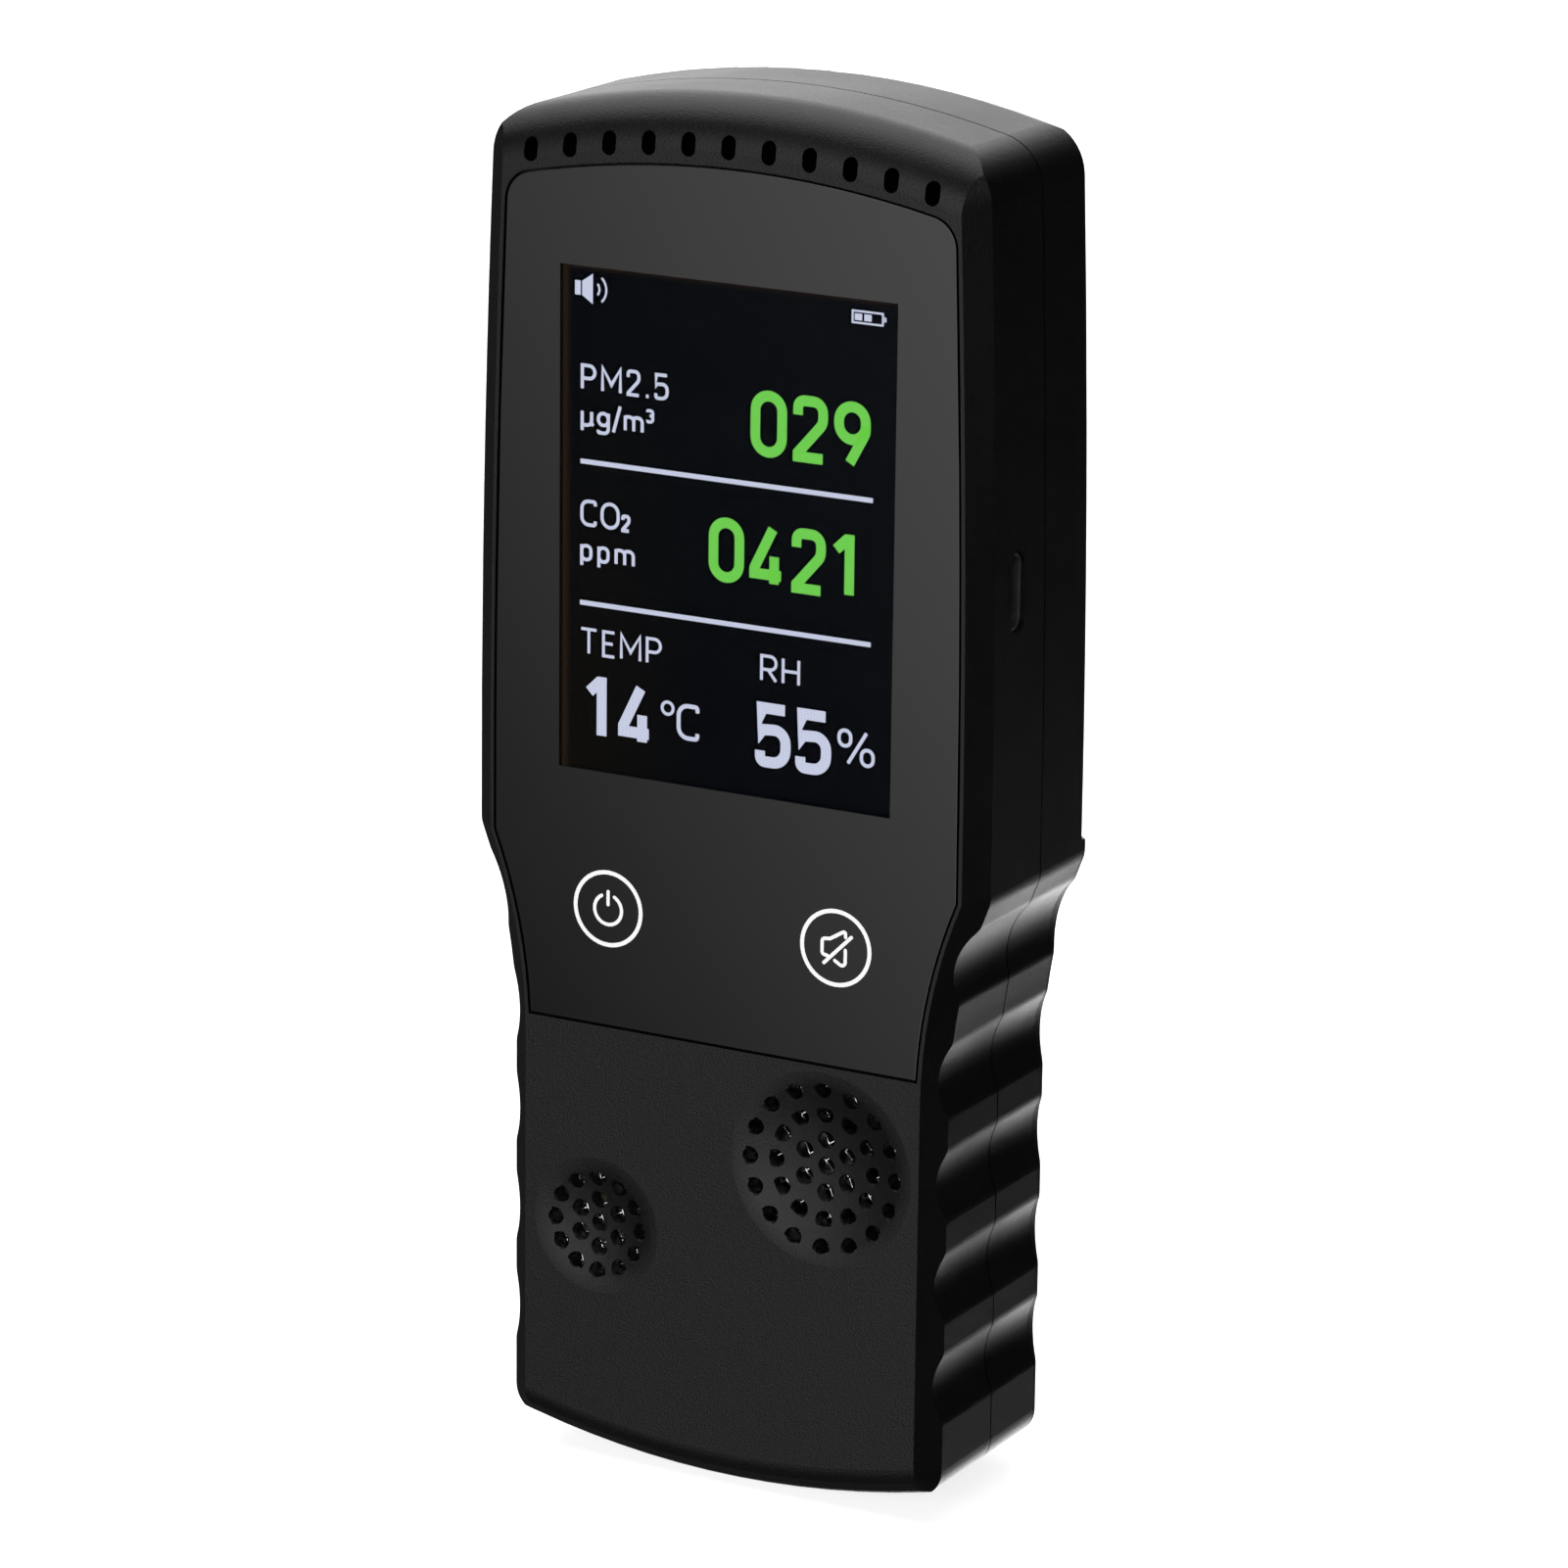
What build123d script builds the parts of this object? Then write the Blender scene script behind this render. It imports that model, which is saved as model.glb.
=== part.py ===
from build123d import *
import os

# Handheld air quality monitor.
# +Z up along the case, the display faces -Y, +X is to the right of someone reading it.
# The origin is the centre of the whole monitor's box. Sizes are in millimetres.
# Depths are measured backwards from the front face, heights from the display's centre.

# ---- Overall sizes ----
HEIGHT = 163.4
DEPTH = 28.4                  # front face to the battery door's back
HEAD_WIDTH = 66.8             # at the knees, where the case is widest
HEAD_TOP_WIDTH = 63.2         # where the sides would meet the top
GRIP_WIDTH = 57.2

# ---- Outline ----
DISPLAY_BELOW_TOP = 49.9      # display centre below the crown of the top
KNEE_HEIGHT = -38.2
GRIP_START = -62.5            # where the narrowing ends
HEAD_SIDE_BOW = 0.5
TOP_RADIUS = 112.0
BOTTOM_RADIUS = 115.0
TOP_CORNER = 6.0
KNEE_CORNER = 3.4
BOTTOM_CORNER = 3.5

# ---- Edges of the housing ----
CHAMFER_SIDE = 2.55           # chamfer measured across the width
CHAMFER_FRONT = 2.2           # and along the depth, at the front
CHAMFER_BACK = 2.5            # and at the back
FACE_TO_TOP_ROUND = 6.0
TOP_TO_BACK_ROUND = 4.0
FACE_TO_BOTTOM_ROUND = 3.85
BOTTOM_TO_BACK_ROUND = 2.6

# ---- Finger grooves ----
GROOVE_COUNT = 5
GROOVE_FIRST = -47.8
GROOVE_PITCH = 12.3
GROOVE_RADIUS = 8.7
GROOVE_DEPTH = 1.0
GROOVE_EDGE = 2.5

# ---- Shells ----
WALL = 2.2
FACE_WALL = 2.4
BACK_WALL = 2.0
SEAM_DEPTH = 14.6             # parting plane
SEAM_LINE_WIDTH = 0.25
SEAM_LINE_DEPTH = 0.3
LIP_THICKNESS = 0.9           # locating lip on the rear shell
LIP_REACH = 1.6
FIT_GAP = 0.1

# ---- Battery door ----
DOOR_PROUD = 1.0              # above the head's back
DOOR_THICKNESS = 3.0
DOOR_TOP = -36.2
DOOR_GAP = 0.2                # gap under the head's step
DOOR_TRAVEL = 8.0
HOOK_WIDTH = 5.0              # along the height
HOOK_THICKNESS = 1.1
HOOK_LIP = 1.0
HOOK_GAP = 0.3
NOTCH_SPARE = 0.5
DOOR_SKIN = 1.7
DOOR_RIM = 4.0                # solid rim round the door's inner recess
DOOR_EDGE_ROUND = 0.6
HOOK_SPACING = 34.0
THUMB_WIDTH = 16.0
THUMB_HEIGHT = 9.0
THUMB_DEPTH = 0.6
THUMB_BELOW_TOP = 10.0
THUMB_RIDGE = 0.7
THUMB_RIDGES = 3

# ---- Display ----
LENS_THICKNESS = 1.0
LENS_GAP = 0.25
RIM_WIDTH = 0.45              # rim between the chamfer and the lens pocket
LENS_TOP_HEIGHT = 42.4
LENS_TOP_RADIUS = 125.0
LENS_CORNER = 3.8
LENS_BOTTOM = -60.0
TAPE_THICKNESS = 0.2
TAPE_INSET = 0.6
VIEW_WIDTH = 43.2
VIEW_HEIGHT = 58.8
VIEW_MARGIN = 0.3
PANEL_WIDTH = 50.0
PANEL_HEIGHT = 69.2
PANEL_THICKNESS = 1.4
PANEL_GAP = 0.3
BACKLIGHT_THICKNESS = 2.0
BACKLIGHT_INSET = 0.2
HOLDER_RIM = 3.0
FLEX_WIDTH = 22.0
FLEX_THICKNESS = 0.15
FLEX_FOOT = 6.0

# ---- Touch keys ----
KEY_X = 14.93
KEY_HEIGHT = -45.66
KEY_HOLE_RADIUS = 4.2
SPRING_RADIUS = 3.2
SPRING_WALL = 0.8

# ---- Vents above the display ----
VENT_COUNT = 11
VENT_PITCH = 5.11
VENT_WIDTH = 1.8
VENT_LENGTH = 2.75
VENT_ABOVE_LENS = 2.2
VENT_PAD_DEPTH = 3.6
VENT_PAD_MARGIN = 1.2
VENT_PAD_ROOT = 0.6           # how far the pad is sunk in the face wall
VENT_GAUZE_MARGIN = 0.3
VENT_GAUZE_ENDS = 0.4

# ---- Grilles: rings of round holes in shallow dishes ----
HOLE_RADIUS = 0.93
HOLE_EDGE = 0.14              # chamfer round each hole
DISH_ROUND = 8.0              # soft rim of a dish
GRILLE_MARGIN = 1.2
GRILLE_WALL = 1.4             # least wall left at the middle of a dish
GRILLE_PAD_ROOT = 1.2         # how far the pads are sunk in the face wall
GAUZE_INSET = 0.4
GAUZE_THICKNESS = 0.3
LARGE_X = 13.4
LARGE_HEIGHT = -72.4
LARGE_DISH_RADIUS = 10.7
LARGE_DISH_DEPTH = 1.4
LARGE_RINGS = ((1, 0.0), (6, 3.1), (12, 6.25), (16, 9.4))
SMALL_X = -16.4
SMALL_HEIGHT = -84.5
SMALL_DISH_RADIUS = 7.3
SMALL_DISH_DEPTH = 1.0
SMALL_RINGS = ((1, 0.0), (6, 2.8), (12, 5.65))

# ---- Screws ----
CASE_SCREW_RADIUS = 1.1
CASE_SCREW_LENGTH = 13.0
CASE_SCREW_SEAT = 19.0        # depth of the head's underside
SCREW_HEAD_RADIUS = 1.9
SCREW_HEAD_HEIGHT = 1.6
DRIVE_SHARE = 0.42            # cross recess, as a share of the head
DRIVE_DEPTH = 0.8
DRIVE_SLOT = 0.5
CLEARANCE_HOLE = 0.25
COUNTERBORE_GAP = 0.3
BOSS_RADIUS = 2.6
REAR_BOSS_RADIUS = 3.2
BOSS_SIDE_INSET = 3.05        # boss axis from the inner wall
BOSS_GAP = 0.3
THREAD_GAP = 0.02
HOLE_SPARE = 0.4              # blind hole beyond the screw's tip
TOP_BOSS_HEIGHT = 37.2
MID_BOSS_HEIGHT = -40.0
BOTTOM_BOSS_ABOVE = 9.2       # above the bottom's crown
BOARD_SCREW_RADIUS = 0.9
BOARD_SCREW_LENGTH = 5.6
BOARD_SCREW_HEAD_RADIUS = 1.8
BOARD_SCREW_HEAD_HEIGHT = 1.2
POST_RADIUS = 2.1
POST_HEIGHT = 22.0
POST_GAP = 0.2                # between a post and the display's holder

# ---- Main board ----
BOARD_DEPTH = 9.4             # front face of the board
BOARD_THICKNESS = 1.6
BOARD_SIDE_GAP = 1.6
BOARD_TOP = 41.0
BOARD_BOTTOM = -56.5
BOARD_HOLE_GAP = 0.4
CONTROLLER_SIZE = 10.0
CHIP_THICKNESS = 1.5
CONNECTOR_HEIGHT = 4.8
BUZZER_RADIUS = 6.0
BUZZER_HEIGHT = 6.5
BUZZER_PORT_RADIUS = 1.0
HUMIDITY_SIZE = 2.5
HUMIDITY_THICKNESS = 0.9

# chips and connectors on the board's back: x, height, width, length
CHIPS = ((-16.0, -10.0, 6.0, 5.0), (15.0, -12.0, 7.0, 7.0), (14.0, 8.0, 5.0, 4.0), (0.0, -28.0, 8.0, 5.0))
CONNECTORS = ((-15.0, -50.0, 10.0, 4.5), (3.0, -50.0, 12.5, 4.5), (17.0, -50.0, 8.0, 4.5))
CONTROLLER_LEVEL = -9.0
BUZZER_PLACE = (-14.0, 18.0)
HUMIDITY_LEVEL = 38.6

# ---- Charging socket ----
SOCKET_HEIGHT = -3.4
SOCKET_SPAN = 8.94
SOCKET_THICKNESS = 3.26
SOCKET_LENGTH = 7.35
SOCKET_WALL = 0.3
SOCKET_RECESS = 0.5           # mouth below the side of the case
SOCKET_GAP = 0.2
TONGUE_SPAN = 6.7
TONGUE_THICKNESS = 0.7
TONGUE_SHORT = 1.2
SOCKET_BACK = 1.0

# ---- Particle sensor ----
PM_WIDTH = 34.0
PM_HEIGHT = 40.0
PM_THICKNESS = 12.0
PM_WALL = 1.0
PM_CORNER = 1.5
PM_OFF_X = -5.9               # sensor centre from the large grille's centre
PM_OFF_HEIGHT = -6.6
PM_BOARD_THICKNESS = 1.0
PM_BOARD_GAP = 0.2
FAN_SIZE = 20.0
FAN_THICKNESS = 7.0
FAN_BORE_RADIUS = 9.4
FAN_BACK = 1.0
FAN_INTAKE_RADIUS = 8.4
FAN_VENT_RADIUS = 2.0
FAN_VENT_PITCH_RADIUS = 6.4
FAN_VENT_COUNT = 6
FAN_SHAFT_RADIUS = 0.75
FAN_SHAFT_GAP = 0.04
ROTOR_RADIUS = 8.8
ROTOR_HUB_RADIUS = 4.6
ROTOR_END_GAP = 0.4
BLADE_COUNT = 7
BLADE_THICKNESS = 0.8
BLADE_PITCH = 35.0
LASER_WIDTH = 16.0
LASER_HEIGHT = 7.0
LASER_THICKNESS = 6.5
LASER_BELOW_FAN = 17.5

# ---- CO2 sensor ----
CO2_WIDTH = 12.4
CO2_OFF_X = -0.8              # can centre from the small grille's centre
CO2_HEIGHT = 18.0
CO2_THICKNESS = 8.6
CO2_ROUND = 1.2
CO2_BOARD_MARGIN = 0.6
CO2_BOARD_THICKNESS = 1.0

# ---- Battery and its bay ----
BATTERY_WIDTH = 34.0
BATTERY_HEIGHT = 50.0
BATTERY_THICKNESS = 6.0
BATTERY_ROUND = 2.0
BAY_SIDE_GAP = 3.4
BAY_END_GAP = 3.0
BAY_FLOOR = 1.2
BAY_WALL = 1.2
BAY_HEIGHT = -75.0
BAY_LEDGE = 1.6               # back plate overhanging the bay's sides
BATTERY_LID_GAP = 1.4
CONTACT_COUNT = 3
CONTACT_PITCH = 4.0
CONTACT_WIDTH = 2.0

os.makedirs("parts", exist_ok=True)

# ---- Places worked out from the sizes ----
FRONT = -DEPTH / 2
TOP = HEIGHT / 2
BOTTOM = -HEIGHT / 2
CENTRE = TOP - DISPLAY_BELOW_TOP          # display centre
HEAD_BACK = DEPTH - DOOR_PROUD            # depth of the head's back
HEAD_INNER = HEAD_BACK - BACK_WALL
DOOR_FACE = DEPTH - DOOR_THICKNESS        # depth of the plane under the door
PLATE_FACE = DOOR_FACE - BACK_WALL
POCKET_FLOOR = LENS_THICKNESS + TAPE_THICKNESS
BOARD_BACK = BOARD_DEPTH + BOARD_THICKNESS
BATTERY_BACK = DOOR_FACE - BATTERY_LID_GAP
BAY_DEPTH = BATTERY_BACK - BATTERY_THICKNESS
BAY_WIDTH = BATTERY_WIDTH + 2 * BAY_SIDE_GAP
BAY_LENGTH = BATTERY_HEIGHT + 2 * BAY_END_GAP
MOUTH_WIDTH = BAY_WIDTH - 2 * BAY_LEDGE
LARGE_BACK = max(FACE_WALL, LARGE_DISH_DEPTH + GRILLE_WALL)
SMALL_BACK = max(FACE_WALL, SMALL_DISH_DEPTH + GRILLE_WALL)
PM_FRONT = LARGE_BACK + GAUZE_THICKNESS
PM_BACK = PM_FRONT + PM_THICKNESS
CO2_FRONT = SMALL_BACK + GAUZE_THICKNESS
CO2_BACK = CO2_FRONT + CO2_THICKNESS
SOCKET_DEPTH = BOARD_DEPTH - SOCKET_THICKNESS / 2
BIG = 3 * max(HEIGHT, TOP_RADIUS, BOTTOM_RADIUS)
TOUCH = 0.001                 # two points closer than this are one


def at(depth):
    """Sketch plane at a depth: x to the right, y up, extrusions go to the front."""
    return Plane(origin=(0, FRONT + depth, 0), x_dir=(1, 0, 0), z_dir=(0, -1, 0))


def across(axis, depth):
    """Plane across an axis that runs along the depth, facing the front."""
    return Plane(origin=(axis[0], FRONT + depth, axis[1]), x_dir=(1, 0, 0), z_dir=(0, -1, 0))


def height(value):
    """Height above the display's centre as a Z coordinate."""
    return CENTRE + value


def side_at(value):
    """Half width of the narrowing, a height above the display's centre."""
    share = (value - GRIP_START) / (KNEE_HEIGHT - GRIP_START)
    share = min(max(share, 0.0), 1.0)
    return (GRIP_WIDTH + (HEAD_WIDTH - GRIP_WIDTH) * share**2) / 2


def head_side_at(value):
    """Half width of the head, a height above the display's centre."""
    shoulder = arc_height(TOP_RADIUS, TOP, HEAD_TOP_WIDTH / 2) - CENTRE
    share = (shoulder - value) / (shoulder - KNEE_HEIGHT)
    straight = (HEAD_TOP_WIDTH + (HEAD_WIDTH - HEAD_TOP_WIDTH) * share) / 2
    return straight + HEAD_SIDE_BOW * (1 - (2 * share - 1) ** 2)


def arc_height(radius, crown, x):
    """Z of a crowned arc at a distance from the middle; a negative radius sags."""
    size = abs(radius)
    drop = size - (size**2 - x**2) ** 0.5
    return crown - drop if radius > 0 else crown + drop


def both_sides(x, z):
    """A place and its mirror image."""
    return [(x, z), (-x, z)]


def at_either(corner):
    """A test for the corner or its mirror image."""
    return lambda v: abs(abs(v.X) - corner[0]) < TOUCH and abs(v.Y - corner[1]) < TOUCH


def on_any_circle(centres, radius):
    """A test for a point that lies on one of the circles."""
    return lambda v: any(abs(((v.X - x) ** 2 + (v.Y - z) ** 2) ** 0.5 - radius) < TOUCH for x, z in centres)


def case_outline(inset=0.0, grooved=False):
    """The case seen from the front, or the same shape set inwards."""
    top, bottom = TOP - inset, BOTTOM + inset
    top_radius, bottom_radius = TOP_RADIUS - inset, BOTTOM_RADIUS - inset
    shoulder_x, knee_x, grip_x = HEAD_TOP_WIDTH / 2 - inset, HEAD_WIDTH / 2 - inset, GRIP_WIDTH / 2 - inset
    shoulder = (shoulder_x, arc_height(top_radius, top, shoulder_x))
    crest = (shoulder_x / 2, arc_height(top_radius, top, shoulder_x / 2))
    knee = (knee_x, height(KNEE_HEIGHT))
    flank = ((shoulder_x + knee_x) / 2 + HEAD_SIDE_BOW, (shoulder[1] + knee[1]) / 2)
    grip = (grip_x, height(GRIP_START))
    heel = (grip_x, arc_height(-bottom_radius, bottom, grip_x))
    sole = (grip_x / 2, arc_height(-bottom_radius, bottom, grip_x / 2))
    with BuildSketch() as outline:
        with BuildLine():
            ThreePointArc((0, top), crest, shoulder)
            ThreePointArc(shoulder, flank, knee)
            TangentArc(grip, knee, tangent=(0, 1))
            Line(grip, heel)
            ThreePointArc(heel, sole, (0, bottom))
            mirror(about=Plane.YZ)
        make_face()
        for corner, radius in ((shoulder, TOP_CORNER), (knee, KNEE_CORNER), (heel, BOTTOM_CORNER)):
            if radius > inset:
                fillet(outline.vertices().filter_by(at_either(corner)), radius - inset)
        if grooved:
            centres = []
            for level in [GROOVE_FIRST - row * GROOVE_PITCH for row in range(GROOVE_COUNT)]:
                centres += both_sides(side_at(level) - GROOVE_DEPTH + GROOVE_RADIUS, height(level))
            with Locations(*centres):
                Circle(GROOVE_RADIUS + inset, mode=Mode.SUBTRACT)
            rims = outline.vertices().filter_by(on_any_circle(centres, GROOVE_RADIUS + inset))
            fillet(rims, GROOVE_EDGE - inset)
    return outline.sketch


def disc(radius, crown, front, back, front_round, back_round):
    """A large disc across the depth, whose rim is the crowned top or bottom."""
    centre = crown - radius if crown > 0 else crown + radius
    with BuildPart() as round_disc:
        with BuildSketch(at(back)):
            with Locations((0, centre)):
                Circle(radius)
        extrude(amount=back - front)
        rims = round_disc.edges().filter_by(GeomType.CIRCLE).group_by(Axis.Y)
        if front_round:
            fillet(rims[0], front_round)
            rims = round_disc.edges().filter_by(GeomType.CIRCLE).group_by(Axis.Y)
        if back_round:
            fillet(rims[-1], back_round)
    return round_disc.part


def chamfer_limit(face, run):
    """Everything inside a chamfered face, as one large solid; a negative run faces back."""
    with BuildPart() as limit:
        with BuildSketch(at(face)):
            add(case_outline(CHAMFER_SIDE))
        with BuildSketch(at(face + 2 * run)):
            add(case_outline(-CHAMFER_SIDE))
        loft(ruled=True)
        back = face + 2 * run + (DEPTH if run > 0 else 0)
        with BuildSketch(at(back)):
            Rectangle(BIG, BIG)
        extrude(amount=DEPTH)
    return limit.part


GROOVED = case_outline(grooved=True)
FRONT_LIMIT = chamfer_limit(0, CHAMFER_FRONT)
HEAD_BACK_LIMIT = chamfer_limit(HEAD_BACK, -CHAMFER_BACK)
DOOR_BACK_LIMIT = chamfer_limit(DEPTH, -CHAMFER_BACK)


# ---- Forms shared by the shells ----
def below(level, depth_front, depth_back):
    """A wide block below a level, between two depths."""
    with BuildPart() as block:
        with BuildSketch(at(depth_back)):
            with Locations((0, level - BIG / 2)):
                Rectangle(BIG, BIG)
        extrude(amount=depth_back - depth_front)
    return block.part


with BuildPart() as head_limit:
    add(HEAD_BACK_LIMIT)
    add(below(height(DOOR_TOP), 0, HEAD_BACK))

with BuildPart() as case_form:
    with BuildSketch(at(HEAD_BACK)):
        add(GROOVED)
    extrude(amount=HEAD_BACK)
    add(FRONT_LIMIT, mode=Mode.INTERSECT)
    add(head_limit.part, mode=Mode.INTERSECT)
    add(disc(TOP_RADIUS, TOP, 0, HEAD_BACK, FACE_TO_TOP_ROUND, TOP_TO_BACK_ROUND), mode=Mode.INTERSECT)
    add(disc(BOTTOM_RADIUS, BOTTOM, 0, HEAD_BACK, FACE_TO_BOTTOM_ROUND, 0), mode=Mode.INTERSECT)
    add(below(height(DOOR_TOP), DOOR_FACE, 2 * DEPTH), mode=Mode.SUBTRACT)

with BuildPart() as cavity:
    with BuildSketch(at(PLATE_FACE)):
        add(case_outline(WALL))
    extrude(amount=PLATE_FACE - FACE_WALL)
    with BuildSketch(at(HEAD_INNER)):
        add(case_outline(WALL))
        with Locations((0, height(DOOR_TOP) + BACK_WALL + BIG / 2)):
            Rectangle(BIG, BIG, mode=Mode.INTERSECT)
    extrude(amount=HEAD_INNER - PLATE_FACE)
    top_rounds = (FACE_TO_TOP_ROUND - WALL, TOP_TO_BACK_ROUND - WALL)
    bottom_rounds = (FACE_TO_BOTTOM_ROUND - WALL, 0)
    add(disc(TOP_RADIUS - WALL, TOP - WALL, WALL, HEAD_INNER, *top_rounds), mode=Mode.INTERSECT)
    add(disc(BOTTOM_RADIUS - WALL, BOTTOM + WALL, WALL, HEAD_INNER, *bottom_rounds), mode=Mode.INTERSECT)


# ---- Where the bosses, posts, vents and rings of holes are ----
TOP_BOSSES = both_sides(head_side_at(TOP_BOSS_HEIGHT) - WALL - BOSS_SIDE_INSET, height(TOP_BOSS_HEIGHT))
MID_BOSSES = both_sides(HEAD_WIDTH / 2 - WALL - BOSS_SIDE_INSET, height(MID_BOSS_HEIGHT))
BOTTOM_BOSSES = both_sides(GRIP_WIDTH / 2 - WALL - BOSS_SIDE_INSET, BOTTOM + BOTTOM_BOSS_ABOVE)
BOSSES = TOP_BOSSES + MID_BOSSES + BOTTOM_BOSSES
POST_X = PANEL_WIDTH / 2 + POST_GAP + POST_RADIUS
POSTS = both_sides(POST_X, height(POST_HEIGHT)) + both_sides(POST_X, height(-POST_HEIGHT))
KEYS = both_sides(KEY_X, height(KEY_HEIGHT))
LARGE_AXIS = (LARGE_X, height(LARGE_HEIGHT))
SMALL_AXIS = (SMALL_X, height(SMALL_HEIGHT))
PM_AXIS = (LARGE_X + PM_OFF_X, height(LARGE_HEIGHT + PM_OFF_HEIGHT))
CO2_AXIS = (SMALL_X + CO2_OFF_X, height(SMALL_HEIGHT))
LENS_ARC_CENTRE = height(LENS_TOP_HEIGHT) - LENS_TOP_RADIUS
VENT_ROW_RADIUS = LENS_TOP_RADIUS + VENT_ABOVE_LENS
VENT_X = [(place - (VENT_COUNT - 1) / 2) * VENT_PITCH for place in range(VENT_COUNT)]
VENTS = [(x, LENS_ARC_CENTRE + (VENT_ROW_RADIUS**2 - x**2) ** 0.5) for x in VENT_X]
DISHES = (
    (LARGE_AXIS, LARGE_DISH_RADIUS, LARGE_DISH_DEPTH, LARGE_BACK, LARGE_RINGS),
    (SMALL_AXIS, SMALL_DISH_RADIUS, SMALL_DISH_DEPTH, SMALL_BACK, SMALL_RINGS),
)
SOCKET_MOUTH = head_side_at(SOCKET_HEIGHT) - SOCKET_RECESS
HOOK_X = MOUTH_WIDTH / 2 - HOOK_GAP
HOOK_LEVELS = [height(BAY_HEIGHT) + place * HOOK_SPACING / 2 for place in (1, -1)]


def lens_outline(inset):
    """The lens pocket's outline, or the same shape set inwards."""
    with BuildSketch() as outline:
        add(case_outline(CHAMFER_SIDE + RIM_WIDTH + inset))
        with Locations((0, LENS_ARC_CENTRE)):
            Circle(LENS_TOP_RADIUS - inset, mode=Mode.INTERSECT)
        with Locations((0, height(LENS_BOTTOM) + inset + BIG / 2)):
            Rectangle(BIG, BIG, mode=Mode.INTERSECT)
        corners = outline.vertices().filter_by(lambda v: abs(v.X) > 1)
        fillet(corners.group_by(Axis.Y)[-1], LENS_CORNER - inset)
    return outline.sketch


def vent_band(margin, ends):
    """A band that follows the row of vents."""
    half = VENT_LENGTH / 2 + margin
    with BuildSketch() as band:
        with Locations((0, LENS_ARC_CENTRE)):
            Circle(VENT_ROW_RADIUS + half)
            Circle(VENT_ROW_RADIUS - half, mode=Mode.SUBTRACT)
        with Locations((0, TOP)):
            Rectangle(2 * (max(VENT_X) + VENT_WIDTH / 2 + ends), HEIGHT, mode=Mode.INTERSECT)
    return band.sketch


def ring_holes(axis, rings):
    """Rings of round holes about an axis."""
    with BuildSketch() as holes:
        for count, radius in rings:
            with Locations(axis):
                with PolarLocations(radius, count, start_angle=90):
                    Circle(HOLE_RADIUS)
    return holes.sketch


def socket_outline(x, inset):
    """The socket's round-ended slot in a plane across X, or the same shape set inwards."""
    across = Plane(origin=(x, FRONT + SOCKET_DEPTH, height(SOCKET_HEIGHT)), x_dir=(0, 0, 1), z_dir=(1, 0, 0))
    with BuildSketch(across) as slot:
        SlotOverall(SOCKET_SPAN - 2 * inset, SOCKET_THICKNESS - 2 * inset)
    return slot.sketch


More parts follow.
